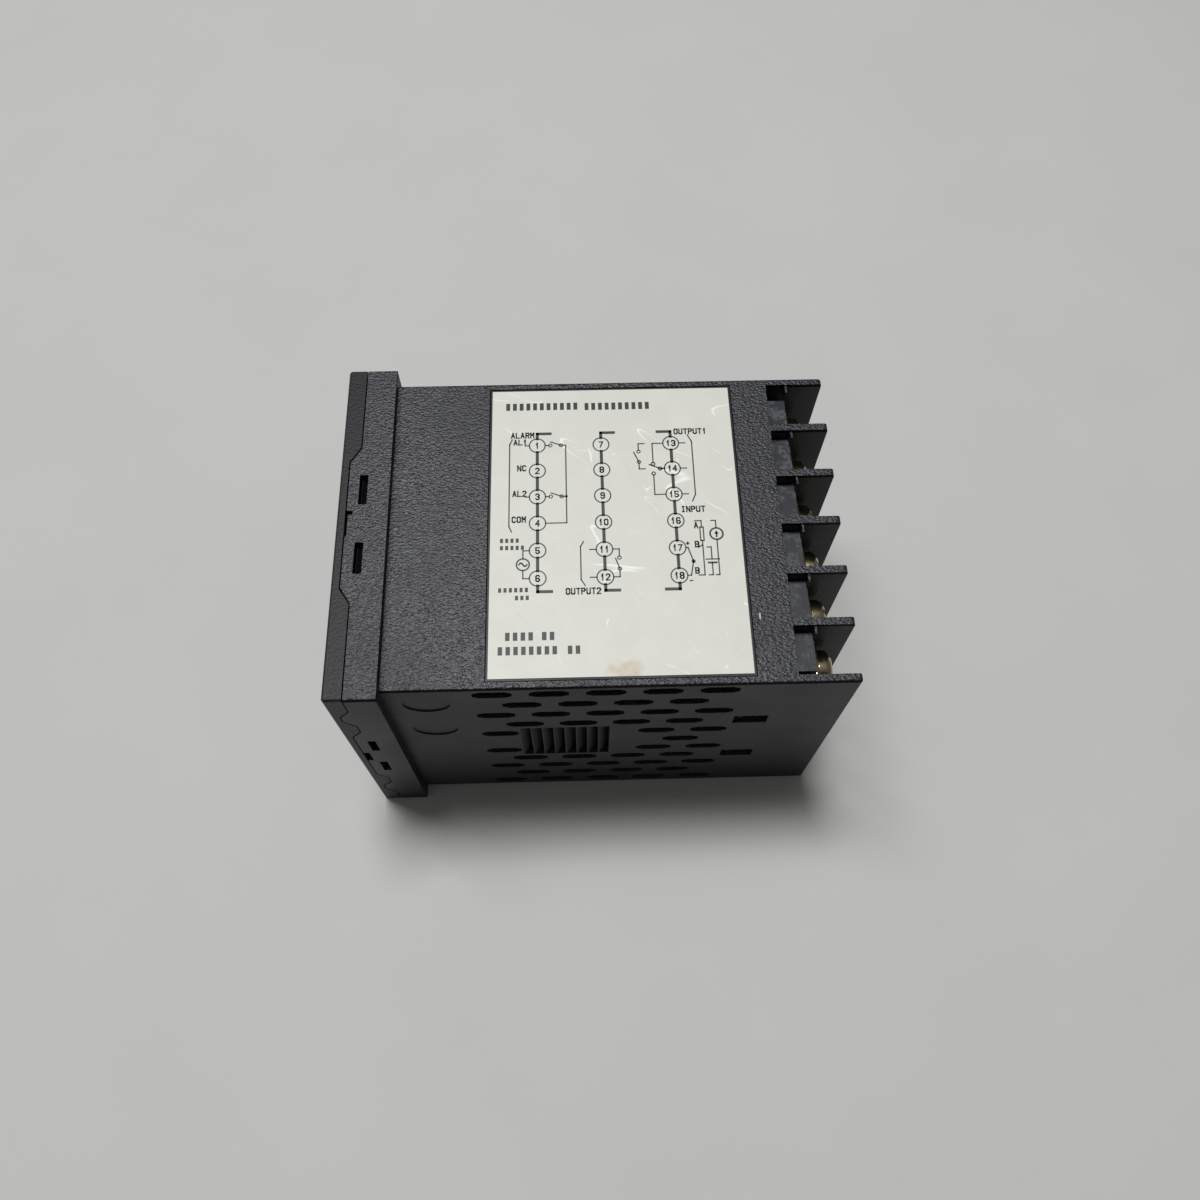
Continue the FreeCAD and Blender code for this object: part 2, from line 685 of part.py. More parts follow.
def make_display():
    """The window, the panel board and what it carries."""
    window_front = "(window_inset - bezel_depth)"
    block("display_window", (window_front, "window_low", "-window_half"),
          (f"{window_front} + window_thick", "window_high", "window_half"))
    block("panel_board", ("panel_board_start", "-panel_board_half", "-panel_board_half"),
          (PANEL_BOARD_BACK, "panel_board_half", "panel_board_half"))
    block("process_display", (DISPLAY_FRONT, "process_low", "-process_half"),
          ("panel_board_start", "process_high", "process_half"))
    block("setpoint_display", (DISPLAY_FRONT, "setpoint_low", "setpoint_left"),
          ("panel_board_start", "setpoint_high", "setpoint_right"))
    for number in range(4):
        low = f"(lamp_first - lamp_side / 2 - {number} * lamp_pitch)"
        block(f"indicator_lamp_{number + 1}", (DISPLAY_FRONT, low, "lamp_place - lamp_side / 2"),
              ("panel_board_start", f"{low} + lamp_side", "lamp_place + lamp_side / 2"))


def make_label():
    block("rating_label", ("label_start", "-label_wide / 2", f"{HALF_CASE} - label_thick"),
          ("label_start + label_long", "label_wide / 2", HALF_CASE))


def row_place(row):
    return f"({FIRST_ROW} - {row} * row_pitch)"


def cell_steps(body, name):
    """Steps that copy a feature from the first cell to all rows and columns of terminals."""
    rows = row_step(body, name + "_rows", "Y_Axis", "-row_pitch", "row_count")
    columns = row_step(body, name + "_columns", "Z_Axis", "-column_pitch", "column_count")
    return [rows, columns]


def make_terminal_block():
    """The insert that holds the contacts: lipped bars between the fins, board grooves and latches."""
    insert = new_body("terminal_block")
    hollow_square(insert, "insert_block", "base_front", LEDGE, None, "lip_rear - base_front")

    seat = sketch_on(insert, "contact_seat_outline", "YZ_Plane", "lip_rear")
    rectangle(seat, f"-{HALF_CASE}", HALF_CASE, "-(column_pitch + tongue_drop + bar_gap)",
              "column_pitch + contact_rise + bar_gap")
    pocket(insert, "contact_seat", seat, "lip_rear - bar_rear")

    gap = sketch_on(insert, "fin_gap_outline", "YZ_Plane", "lip_rear")
    half = "(fin_thick / 2 + bar_gap)"
    rectangle(gap, f"{INNER_FIN} - {half}", f"{INNER_FIN} + {half}", f"-{HALF_CASE}", HALF_CASE)
    cut = pocket(insert, "fin_gap", gap, "lip_rear - base_rear")
    rows = row_step(insert, "fin_gap_rows", "Y_Axis", "-row_pitch", "row_count - 1")
    repeat(insert, "fin_gaps", [cut], [rows])

    first_row = row_place(0)
    slots = sketch_on(insert, "tongue_slot_outline", "YZ_Plane", "bar_rear")
    half = "(tongue_wide / 2 + tongue_gap)"
    foot = "(column_pitch - tongue_drop)"
    rectangle(slots, f"{first_row} - {half}", f"{first_row} + {half}",
              f"{foot} - tongue_gap", f"{foot} + contact_thick + tongue_gap")
    cut = pocket(insert, "tongue_slot", slots, None)
    repeat(insert, "tongue_slots", [cut], cell_steps(insert, "tongue_slot"))

    wells = sketch_on(insert, "screw_pocket_outline", "YZ_Plane", "bar_rear")
    rectangle(wells, f"{first_row} - screw_pocket / 2", f"{first_row} + screw_pocket / 2",
              "column_pitch - screw_pocket / 2", "column_pitch + screw_pocket / 2")
    cut = pocket(insert, "screw_pocket_cut", wells, "shank_length")
    repeat(insert, "screw_pockets", [cut], cell_steps(insert, "screw_pocket"))

    groove = sketch_on(insert, "board_groove_outline", "YZ_Plane", "base_front")
    half = "(board_half + groove_gap)"
    rectangle(groove, f"-{half}", half, f"{foot} - board_thick - groove_gap", f"{foot} + groove_gap")
    cut = pocket(insert, "board_groove", groove, "groove_deep", backwards=True)
    columns = row_step(insert, "board_groove_columns", "Z_Axis", "-column_pitch", "column_count")
    repeat(insert, "board_grooves", [cut], [columns])

    latch = sketch_on(insert, "latch_profile", "XY_Plane", "latch_spacing / 2")
    catch = "(base_front + latch_gap)"
    end = "(latch_window_start + latch_window_long - latch_gap)"
    crest = f"({CASE_INNER} + latch_rise)"
    outline(latch, ((catch, LEDGE), (catch, crest), (f"{catch} + latch_flat", crest), (end, LEDGE)))
    grown = pad(insert, "latch", latch, "latch_window_wide - 2 * latch_gap", "Symmetric")
    steps = [mirror_step(insert, "latch_mirror_up", "XZ_Plane"),
             mirror_step(insert, "latch_mirror_side", "XY_Plane")]
    repeat(insert, "latches", [grown], steps)


def make_contact(number):
    """A bent strip: a tapped plate under its screw and a tongue that lies on the board."""
    column, row = divmod(number, 6)
    name = f"contact_{number + 1:02d}"
    contact = new_body(name)
    contact.setExpression("Placement.Base.y", bound(row_place(row)))
    contact.setExpression("Placement.Base.z", bound(COLUMNS[column]))
    strip = sketch_on(contact, name + "_strip", "XZ_Plane")
    inner_end = f"({BOARD_REAR} - tongue_reach)"
    outline(strip, (
        (inner_end, "-tongue_drop"),
        (CONTACT_FACE, "-tongue_drop"),
        (CONTACT_FACE, "contact_rise"),
        ("bar_rear", "contact_rise"),
        ("bar_rear", "contact_thick - tongue_drop"),
        (inner_end, "contact_thick - tongue_drop"),
    ))
    pad(contact, name + "_bent", strip, "contact_wide", "Symmetric")
    sides = sketch_on(contact, name + "_sides", "XY_Plane")
    for sign in ("", "-"):
        rectangle(sides, f"{inner_end} - contact_thick", "bar_rear",
                  f"{sign}tongue_wide / 2", f"{sign}contact_wide")
    pocket(contact, name + "_tongue", sides, None, "Symmetric")
    tapped = sketch_on(contact, name + "_tapping", "YZ_Plane", CONTACT_FACE)
    many_sided(tapped, "0 * thread_hole", "0 * thread_hole", "thread_hole", SHANK_SIDES)
    pocket(contact, name + "_hole", tapped, "contact_thick")


def make_screws():
    """The terminal screws, each with its captive square washer."""
    screws = new_body("terminal_screws")
    centre = (row_place(0), "column_pitch")
    plate = sketch_on(screws, "washer_outline", "YZ_Plane", CONTACT_FACE)
    rectangle(plate, f"{centre[0]} - washer_side / 2", f"{centre[0]} + washer_side / 2",
              "column_pitch - washer_side / 2", "column_pitch + washer_side / 2")
    washer = pad(screws, "washer", plate, "washer_thick")
    head = sketch_on(screws, "head_outline", "YZ_Plane", f"{CONTACT_FACE} + washer_thick")
    many_sided(head, *centre, "head_radius", HEAD_SIDES)
    head_pad = pad(screws, "head", head, "head_high")
    shank = sketch_on(screws, "shank_outline", "YZ_Plane", CONTACT_FACE)
    many_sided(shank, *centre, "thread_hole - shank_gap", SHANK_SIDES)
    shank_pad = pad(screws, "shank", shank, "shank_length", backwards=True)
    repeat(screws, "screws", [washer, head_pad, shank_pad], cell_steps(screws, "screw"))


def board_top(number):
    return f"({COLUMNS[number]} - tongue_drop)"


def on_board(name, number, start, side, long, wide, high):
    """A plain component that stands on one of the long boards."""
    top = board_top(number)
    return block(name, (start, side, top), (f"{start} + {long}", f"{side} + {wide}", f"{top} + {high}"))


def make_boards():
    for number, name in enumerate(BOARDS):
        top = board_top(number)
        block(name, (BOARD_FRONT, "-board_half", f"{top} - board_thick"), (BOARD_REAR, "board_half", top))
        on_board(f"board_header_{number + 1}", number, PANEL_BOARD_BACK, "-header_wide / 2",
                 "header_long", "header_wide", "header_high")


def make_transformer():
    """A ferrite core with two windows, and the winding round its middle leg."""
    top = board_top(0)
    low = f"({top} + core_lift)"
    core = new_body("transformer_core")
    outer = sketch_on(core, "core_outline", "XY_Plane", low)
    end = "(core_start + core_long)"
    rectangle(outer, "core_start", end, "-core_wide / 2", "core_wide / 2")
    for sign in ("", "-"):
        rectangle(outer, "core_start + core_arm", f"{end} - core_arm",
                  f"{sign}core_leg / 2", f"{sign}(core_wide / 2 - core_arm)")
    pad(core, "core_pad", outer, "core_high")

    winding = new_body("transformer_winding")
    ring = sketch_on(winding, "winding_outline", "YZ_Plane", "core_start + core_arm + winding_gap")
    half = "(core_wide / 2 - core_arm - winding_gap)"
    rectangle(ring, f"-{half}", half, top, f"{low} + core_high + core_lift")
    half = "(core_leg / 2 + winding_gap)"
    rectangle(ring, f"-{half}", half, low, f"{low} + core_high + winding_gap")
    pad(winding, "winding_pad", ring, "core_long - 2 * core_arm - 2 * winding_gap")


def make_components():
    """The larger parts that stand on the three long boards."""
    make_transformer()
    can = doc.addObject("Part::Cylinder", "smoothing_capacitor")
    can.Label = "smoothing_capacitor"
    can.setExpression("Radius", bound("capacitor_radius"))
    can.setExpression("Height", bound("capacitor_high"))
    can.setExpression("Placement.Base.x", bound("relay_start + relay_long / 2"))
    can.setExpression("Placement.Base.y", bound("board_half / 2"))
    can.setExpression("Placement.Base.z", bound(board_top(0)))
    subparts.append(can)
    on_board("fuse", 0, "core_start", "core_wide / 2 + core_arm", "fuse_long", "fuse_wide", "fuse_high")
    beside = "board_margin - board_half"
    on_board("relay_1", 0, "relay_start", beside, "relay_long", "relay_wide", "relay_high")
    on_board("relay_2", 1, "relay_start", beside, "relay_long", "relay_wide", "relay_high")
    on_board("relay_3", 1, "relay_start", "board_margin", "relay_long", "relay_wide", "relay_high")
    on_board("controller_chip", 2, "relay_start", "-chip_side / 2", "chip_side", "chip_side", "chip_thick")


def write_parts():
    """Checks every object, then writes one STEP file for each sub-part."""
    doc.recompute()
    for item in doc.Objects:
        if "Invalid" in item.State or "Error" in item.State:
            raise RuntimeError(f"{item.Name} failed: {item.State}")
    os.makedirs("parts", exist_ok=True)
    for part in subparts:
        shape = part.Shape
        if shape.isNull() or not shape.isValid() or not shape.Solids:
            raise RuntimeError(f"{part.Label} has no valid solid")
        shape.exportStep(f"parts/{part.Label}.step")


make_case()
make_front_bezel()
make_label()
make_display()
for number in range(4):
    make_key(number)
make_terminal_block()
for number in range(18):
    make_contact(number)
make_screws()
make_boards()
make_components()
write_parts()
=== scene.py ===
import math
import random
from functools import partial

import bmesh
import bpy
from bpy.props import FloatProperty, FloatVectorProperty, IntProperty, PointerProperty
from mathutils import Matrix, Vector


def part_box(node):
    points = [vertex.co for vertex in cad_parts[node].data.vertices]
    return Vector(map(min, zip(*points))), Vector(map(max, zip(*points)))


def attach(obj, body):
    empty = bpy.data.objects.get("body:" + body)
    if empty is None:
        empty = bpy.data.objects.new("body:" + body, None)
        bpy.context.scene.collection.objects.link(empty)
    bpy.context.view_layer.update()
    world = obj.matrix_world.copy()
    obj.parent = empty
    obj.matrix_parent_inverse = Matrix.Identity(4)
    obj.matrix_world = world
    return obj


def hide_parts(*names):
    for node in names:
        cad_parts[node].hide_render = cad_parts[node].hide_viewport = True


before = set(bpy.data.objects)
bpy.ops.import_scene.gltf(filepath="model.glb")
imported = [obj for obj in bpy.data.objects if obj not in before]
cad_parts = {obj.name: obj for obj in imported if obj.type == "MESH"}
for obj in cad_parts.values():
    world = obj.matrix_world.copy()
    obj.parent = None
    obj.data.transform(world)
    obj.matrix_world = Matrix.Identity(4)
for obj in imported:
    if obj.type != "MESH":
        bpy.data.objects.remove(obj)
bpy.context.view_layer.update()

bl_info = {
    "name": "Panel controller looks",
    "version": (1, 0, 0),
    "blender": (4, 5, 0),
    "location": "View3D > Sidebar > Controller",
    "description": "Finishes, label print, screws and stage of a panel process controller",
    "category": "Object",
}

MM = 0.001
ROOT = "unit"


def corners_of(node):
    """The lowest and highest corner of a node's box."""
    return [Vector(corner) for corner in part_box(node)]


CASE_LOW, CASE_HIGH = corners_of("case")
LABEL_LOW, LABEL_HIGH = corners_of("rating_label")
SCREWS_LOW, SCREWS_HIGH = corners_of("terminal_screws")
CONTACTS = [f"contact_{number:02d}" for number in range(1, 19)]
CONTACT_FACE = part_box(CONTACTS[0])[1][0]
# edges sharper than this stay sharp on smooth-shaded pieces
SHARP_ANGLE = math.radians(38)
# how far printed marks stand off the front faces, so that they show
MARK_LIFT = 0.02 * MM


# ---- colours and nodes


def linear(code):
    """An sRGB hex colour as linear red, green and blue."""
    shares = [int(code[place:place + 2], 16) / 255 for place in (1, 3, 5)]
    return tuple(s / 12.92 if s <= 0.04045 else ((s + 0.055) / 1.055) ** 2.4 for s in shares)


def shade(colour, factor):
    """A colour made darker or lighter, held within its range."""
    return tuple(min(1.0, share * factor) for share in colour)


def vector_property(name, description, default, **settings):
    return FloatVectorProperty(name=name, description=description, default=default, size=len(default),
                               **settings)


def colour_property(name, description, code):
    return vector_property(name, description, linear(code), subtype="COLOR", min=0.0, max=1.0)


def number_property(name, description, default, **limits):
    return FloatProperty(name=name, description=description, default=default, **limits)


def length_property(name, description, millimetres):
    return number_property(name, description, millimetres * MM, unit="LENGTH", subtype="DISTANCE",
                           precision=5)


def add(tree, kind, inputs=(), **settings):
    """Adds one node. Its inputs go by name or number, or in order, as values, nodes or their outputs."""
    made = tree.nodes.new("ShaderNode" + kind)
    for name, value in settings.items():
        setattr(made, name, value)
    pairs = inputs.items() if isinstance(inputs, dict) else enumerate(inputs)
    for key, value in pairs:
        socket = made.inputs[key]
        if isinstance(value, bpy.types.Node):
            value = next(output for output in value.outputs if output.enabled)
        if isinstance(value, bpy.types.NodeSocket):
            tree.links.new(value, socket)
        elif socket.type == "RGBA":
            socket.default_value = (*value, 1.0)
        else:
            socket.default_value = value
    return made


def new_material(name):
    """An empty material, the call that adds nodes to it, and the piece's own coordinates in metres."""
    material = bpy.data.materials.new(name)
    material.use_nodes = True
    material.node_tree.nodes.clear()
    node = partial(add, material.node_tree)
    return material, node, node("TexCoord").outputs["Object"]


def surfaced(material, node, inputs):
    """Closes a material with its shader and output."""
    node("OutputMaterial", {"Surface": node("BsdfPrincipled", inputs)})
    return material


def soft_spot(node, where, centre, radii, ragged=0.0):
    """A soft-edged oval mask on the label side, with its outline broken up by noise."""
    offset = node("VectorMath", (where, centre), operation="SUBTRACT")
    even = node("VectorMath", (offset, (1 / radii[0], 1 / radii[1], 0.0)), operation="MULTIPLY")
    away = node("VectorMath", (even,), operation="LENGTH")
    broken = node("TexNoise", {"Vector": where, "Scale": 2 / min(radii), "Detail": 3.0})
    rough = node("Math", (broken, ragged, away), operation="MULTIPLY_ADD")
    return node("MapRange", (rough, 0.6, 1.0, 1.0, 0.0), interpolation_type="SMOOTHSTEP")


def eased_relief(node, height, depth, edge):
    """A height map's relief on a surface whose sharp edges are eased by a small radius."""
    eased = node("Bevel", {"Radius": edge}, samples=4)
    return node("Bump", {"Height": height, "Distance": depth, "Normal": eased})


def mottled(node, where, width, first, second, detail=3.0):
    """A colour that drifts between two in patches, the share of the second, and the noise behind it."""
    patches = node("TexNoise", {"Vector": where, "Scale": 1 / width, "Detail": detail})
    share = node("MapRange", (patches, 0.3, 0.7))
    return node("Mix", {0: share, 6: first, 7: second}, data_type="RGBA"), share, patches


def faces_along(node, axis):
    """How squarely a surface faces one axis of its piece, from 0 to 1."""
    normal = node("SeparateXYZ", (node("TexCoord").outputs["Normal"],))
    return node("Math", (normal.outputs[axis],), operation="ABSOLUTE")


def numbered(stem, count):
    """The names of like nodes."""
    return [f"{stem}_{number}" for number in range(1, count + 1)]


def finish_nodes(material, *names):
    """Gives nodes of the frame their finish."""
    for name in names:
        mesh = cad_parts[name].data
        mesh.materials.clear()
        mesh.materials.append(material)


# ---- sizes and colours


class CaseFinish(bpy.types.PropertyGroup):
    """Moulded plastics of the case, front frame, insert and keys."""

    case_colour: colour_property("Case", "Charcoal of the moulded case", "#181A24")
    front_colour: colour_property("Front frame", "Black of the front frame", "#121318")
    insert_colour: colour_property("Terminal insert", "Grey of the terminal insert", "#15171F")
    key_colour: colour_property("Keys", "Grey of the four keys", "#3C3E44")
    grain_width: length_property("Grain width", "Width of one pebble of the spark-eroded grain", 0.29)
    grain_depth: length_property("Grain depth", "Depth of the spark-eroded grain", 0.088)
    # real satin is finer than 0.1 mm and is drawn coarser, so that it shows
    satin_width: length_property("Satin width", "Width of the fine satin texture", 0.16)
    dust: number_property("Dust", "Most dust held on the insert", 0.3, min=0.0, max=1.0)
    edge_radius: length_property("Edge radius", "Softened radius of moulded edges", 0.08)
    # the smooth strip round the label is painted darker as shade in the label's step
    shaded_strip: length_property("Seam strip", "Width of the smooth strip round the label", 0.42)
    # the black lines in the label's step and under the long edges are painted shadow
    shadow_line: length_property("Seam line", "Width of the black lines in the steps", 0.17)


class LabelLooks(bpy.types.PropertyGroup):
    """The label's film and the sizes of its print."""

    film_colour: colour_property("Film", "Pale grey of the label film", "#CCCCC4")
    ink_colour: colour_property("Ink", "Near-black of the print", "#1B1B1D")
    stain_colour: colour_property("Stain", "Brown of the old glue stain", "#B39C78")
    row_pitch: length_property("Row pitch", "Distance between terminal numbers", 3.975)
    ring_radius: length_property("Ring radius", "Radius of the rings round the numbers", 1.07)
    ring_line: length_property("Ring line", "Line width of the rings", 0.17)
    thin_line: length_property("Thin line", "Line width of the circuit lines", 0.17)
    thick_line: length_property("Thick line", "Line width of the terminal column", 0.42)
    digit_height: length_property("Digit height", "Height of the terminal numbers", 1.0)
    legend_height: length_property("Legend height", "Height of the small legends", 0.95)
    pen_width: length_property("Pen width", "Line width of the lettering", 0.19)
    ink_lift: length_property("Ink lift", "Height of the ink over the film", 0.012)


class ScrewForm(bpy.types.PropertyGroup):
    """Form and finish of the eighteen terminal screws."""

    head_radius: length_property("Head radius", "Radius of the pan head", 2.72)
    head_height: length_property("Head height", "Height of the pan head", 2.15)
    shank_radius: length_property("Shank radius", "Radius of the thread's crest", 1.42)
    thread_pitch: length_property("Thread pitch", "Pitch of the M3 thread", 0.5)
    washer_side: length_property("Washer side", "Side of the square washer", 5.7)
    washer_thick: length_property("Washer thickness", "Thickness of the square washer", 0.48)
    slot_width: length_property("Recess width", "Width of each arm of the cross recess", 0.72)
    slot_depth: length_property("Recess depth", "Depth of the cross recess", 1.1)
    screw_colour: colour_property("Screw", "Warm passivated zinc", "#C6B796")
    contact_colour: colour_property("Contact", "Nickel-plated brass", "#B9B19C")
    seed: IntProperty(name="Turn seed", description="Picks how far each screw is turned", default=7)


class FrontLooks(bpy.types.PropertyGroup):
    """Window, displays and key marks of the front."""

    window_colour: colour_property("Window", "Smoke of the acrylic window", "#A8A8AE")
    face_colour: colour_property("Display face", "Dark face of the displays", "#17181B")
    segment_colour: colour_property("Segments", "Unlit milky segments", "#9C9C96")
    mark_colour: colour_property("Key marks", "Pale marks on the keys", "#C9CBCF")
    process_height: length_property("Process digits", "Height of the large digits", 9.0)
    setpoint_height: length_property("Setpoint digits", "Height of the small digits", 5.2)
    mark_size: length_property("Mark size", "Width of a key's mark", 2.4)


CAMERA_TURN = tuple(math.radians(degrees) for degrees in (27.011, -0.221, -1.449))


class StageLooks(bpy.types.PropertyGroup):
    """Floor, camera and lights."""

    floor_colour: colour_property("Floor", "Pale grey of the floor", "#BFBFBD")
    floor_side: number_property("Floor side", "Side of the floor", 3.0, unit="LENGTH")
    camera_place: vector_property("Camera place", "Where the camera stands", (0.0245, -0.0671, 0.1512),
                                  subtype="TRANSLATION")
    camera_turn: vector_property("Camera turn", "How the camera is turned", CAMERA_TURN, subtype="EULER")
    camera_lens: number_property("Lens", "Focal length in millimetres", 33.22)
    camera_shift: vector_property("Shift", "Lens shift across and up", (0.0056, -0.0549))
    key_power: number_property("Key power", "Power of the lamp overhead in watts", 5.3)
    key_place: vector_property("Key place", "Where the lamp overhead hangs", (-0.03, 0.13, 0.87),
                               subtype="TRANSLATION")
    fill_power: number_property("Fill power", "Power of the weaker lamp in watts", 1.9)
    fill_place: vector_property("Fill place", "Where the weaker lamp hangs", (-0.27, 0.18, 0.84),
                                subtype="TRANSLATION")
    lamp_side: number_property("Lamp side", "Side of each lamp", 0.18, unit="LENGTH")
    sky_strength: number_property("Sky strength", "Strength of the even light", 0.14)


# ---- materials

# A Mix node takes the share at input 0 and the two colours at inputs 6 and 7.


def spark_grain(node, where):
    """Height of a spark-eroded grain: close pebbles, a little longer one way than the other."""
    width = bpy.context.scene.case_finish.grain_width
    turned = node("Mapping", {"Vector": where, "Rotation": (0.0, 0.0, math.radians(-35)),
                              "Scale": (0.62, 1.0, 1.0)})
    pebbles = node("TexVoronoi", {"Vector": turned, "Scale": 1 / width, "Smoothness": 0.35},
                   feature="SMOOTH_F1")
    fine = node("TexNoise", {"Vector": turned, "Scale": 1 / (0.6 * width), "Roughness": 0.6})
    return node("Math", (pebbles, -0.9, fine), operation="MULTIPLY_ADD")


def outside_label(node, where):
    """Distance outside the label's outline in metres, below 0 on the label."""
    middle = (LABEL_LOW + LABEL_HIGH) / 2
    half = (LABEL_HIGH - LABEL_LOW) / 2
    offset = node("VectorMath", (where, middle), operation="SUBTRACT")
    away = node("VectorMath", (offset,), operation="ABSOLUTE")
    gaps = node("SeparateXYZ", (node("VectorMath", (away, half), operation="SUBTRACT"),)).outputs
    return node("Math", (gaps["X"], gaps["Y"]), operation="MAXIMUM")


def strip_and_shadow_lines(node, where, grainy, smooth):
    """Masks of the smooth strip round the label, and of painted black shadow lines there and under the long
    edges.
    """
    finish = bpy.context.scene.case_finish
    strip = finish.shaded_strip
    line = finish.shadow_line
    away = outside_label(node, where)
    beside = node("Math", (node("MapRange", (away, strip, strip - 0.05 * MM)), grainy), operation="MULTIPLY")
    # a black line of painted shadow in the label's step
    outer = node("MapRange", (away, strip - line, strip - line * 0.6))
    wall = node("Math", (outer, beside), operation="MULTIPLY")
    # a black line of painted shadow just under the long edges
    spots = node("SeparateXYZ", (where,)).outputs
    up = node("Math", (spots["Z"],), operation="ABSOLUTE")
    # the flange's edge stands higher than the case's
    edge = node("MapRange", (spots["X"], 0.0, 0.01 * MM, CASE_HIGH.z, LABEL_HIGH.z))
    below = node("Math", (edge, up), operation="SUBTRACT")
    under = node("Math", (node("MapRange", (below, line * 4.0, line * 3.4)), smooth), operation="MULTIPLY")
    return beside, node("Math", (wall, under), operation="MAXIMUM")


def moulded_case_plastic():
    """Charcoal ABS from a spark-eroded mould: pebbled, with small glints, on the label side, else smooth."""
    finish = bpy.context.scene.case_finish
    colour = finish.case_colour
    material, node, where = new_material("charcoal_abs_spark_eroded")
    grainy = node("MapRange", (faces_along(node, "Z"), 0.6, 0.8))
    smooth = node("Math", (1.0, grainy), operation="SUBTRACT")
    strip, black = strip_and_shadow_lines(node, where, grainy, smooth)
    pebbled = node("Math", (grainy, strip), operation="SUBTRACT")
    grain = spark_grain(node, where)
    satin = node("TexNoise", {"Vector": where, "Scale": 1 / finish.satin_width})
    raised = node("Math", (grain, pebbled), operation="MULTIPLY")
    height = node("Math", (satin, 0.05, raised), operation="MULTIPLY_ADD")
    # handling leaves the faces slightly uneven in tone, and the pits of the grain are painted darker as
    # shade
    patches = node("TexNoise", {"Vector": where, "Scale": 1 / (14 * MM), "Detail": 3.0})
    uneven = node("MapRange", (patches, 0.35, 0.75, 0.0, 0.3))
    dusty = node("Mix", {0: uneven, 6: colour, 7: shade(colour, 1.5)}, data_type="RGBA")
    pits = node("Math", (node("MapRange", (grain, 0.15, -0.2)), pebbled), operation="MULTIPLY")
    pitted = node("Mix", {0: pits, 6: dusty, 7: shade(colour, 0.4)}, data_type="RGBA")
    # faces that do not face up or down, and the smooth strip round the label, get half the colour: painted
    # shade on the sides and in the label's step
    plain = node("Math", (smooth, strip), operation="MAXIMUM")
    toned = node("Mix", {0: plain, 6: pitted, 7: shade(colour, 0.5)}, data_type="RGBA")
    # the black lines in the label's step and under the long edges are painted shadow
    lined = node("Mix", {0: black, 6: toned, 7: shade(colour, 0.1)}, data_type="RGBA")
    # one small pale grey oval beside the label
    pale_spot = soft_spot(node, where, (LABEL_HIGH.x + 1.35 * MM, LABEL_LOW.y + 7.6 * MM, LABEL_HIGH.z),
                      (0.15 * MM, 0.68 * MM), 0.25)
    spotted = node("Mix", {0: pale_spot, 6: lined, 7: linear("#B4B4B5")}, data_type="RGBA")
    # the smooth sides and the steps throw back less light, and the painted shadow lines hardly any
    shine = node("MapRange", (plain, 0.0, 1.0, 0.5, 0.34))
    shadow_gloss = node("MapRange", (black, 0.0, 1.0, 1.0, 0.08))
    worn = node("MapRange", (patches, 0.3, 0.7, 0.46, 0.56))
    return surfaced(material, node, {
        "Base Color": spotted, "IOR": 1.53,
        "Roughness": node("Math", (pebbled, -0.11, worn), operation="MULTIPLY_ADD"),
        "Specular IOR Level": node("Math", (shine, shadow_gloss), operation="MULTIPLY"),
        "Normal": eased_relief(node, height, finish.grain_depth, finish.edge_radius)})


def front_frame_plastic():
    """Black ABS from a spark-eroded mould: fine grain on the outer rim, satin on the face."""
    finish = bpy.context.scene.case_finish
    material, node, where = new_material("black_abs_spark_eroded")
    rim = node("MapRange", (faces_along(node, "X"), 0.7, 0.4))
    grain = spark_grain(node, where)
    height = node("Math", (grain, node("MapRange", (rim, 0.0, 1.0, 0.06, 0.4))), operation="MULTIPLY")
    # the pits of the rim's grain are painted darker as shade
    pits = node("Math", (node("MapRange", (grain, 0.15, -0.2)), rim), operation="MULTIPLY")
    colour = finish.front_colour
    return surfaced(material, node, {
        "Base Color": node("Mix", {0: pits, 6: colour, 7: shade(colour, 0.4)}, data_type="RGBA"),
        "Roughness": node("MapRange", (rim, 0.0, 1.0, 0.42, 0.52)), "IOR": 1.53,
        "Specular IOR Level": 0.3,
        "Normal": eased_relief(node, height, finish.grain_depth, finish.edge_radius)})


def insert_plastic():
    """Grey glass-filled PBT, moulded: dull and slightly blue, with dust held on its faces."""
    finish = bpy.context.scene.case_finish
    material, node, where = new_material("grey_pbt_moulded")
    patches = node("TexNoise", {"Vector": where, "Scale": 1 / (2.2 * MM), "Detail": 2.0})
    specks = node("TexNoise", {"Vector": where, "Scale": 1 / (0.5 * MM), "Detail": 3.0, "Roughness": 0.7})
    held = node("Math", (specks, patches), operation="MULTIPLY")
    dust = node("MapRange", (held, 0.22, 0.33, 0.0, finish.dust))
    mixed = node("Mix", {0: dust, 6: finish.insert_colour, 7: linear("#82858F")}, data_type="RGBA")
    return surfaced(material, node, {
        "Base Color": mixed, "Roughness": node("MapRange", (dust, 0.0, 0.3, 0.5, 0.7)), "IOR": 1.55,
        "Specular IOR Level": 0.36,
        "Normal": eased_relief(node, specks, 0.02 * MM, finish.edge_radius)})


def satin_plastic(name, colour, roughness=0.46):
    """Moulded ABS with a fine satin texture: an even, soft shine with faint handling marks."""
    finish = bpy.context.scene.case_finish
    material, node, where = new_material(name)
    base, tone, _ = mottled(node, where, 9 * MM, shade(colour, 0.8), colour)
    satin = node("TexNoise", {"Vector": where, "Scale": 1 / finish.satin_width})
    return surfaced(material, node, {
        "Base Color": base, "IOR": 1.53,
        "Roughness": node("MapRange", (tone, 0.0, 1.0, roughness - 0.05, roughness + 0.06)),
        "Normal": eased_relief(node, satin, 0.004 * MM, finish.edge_radius)})


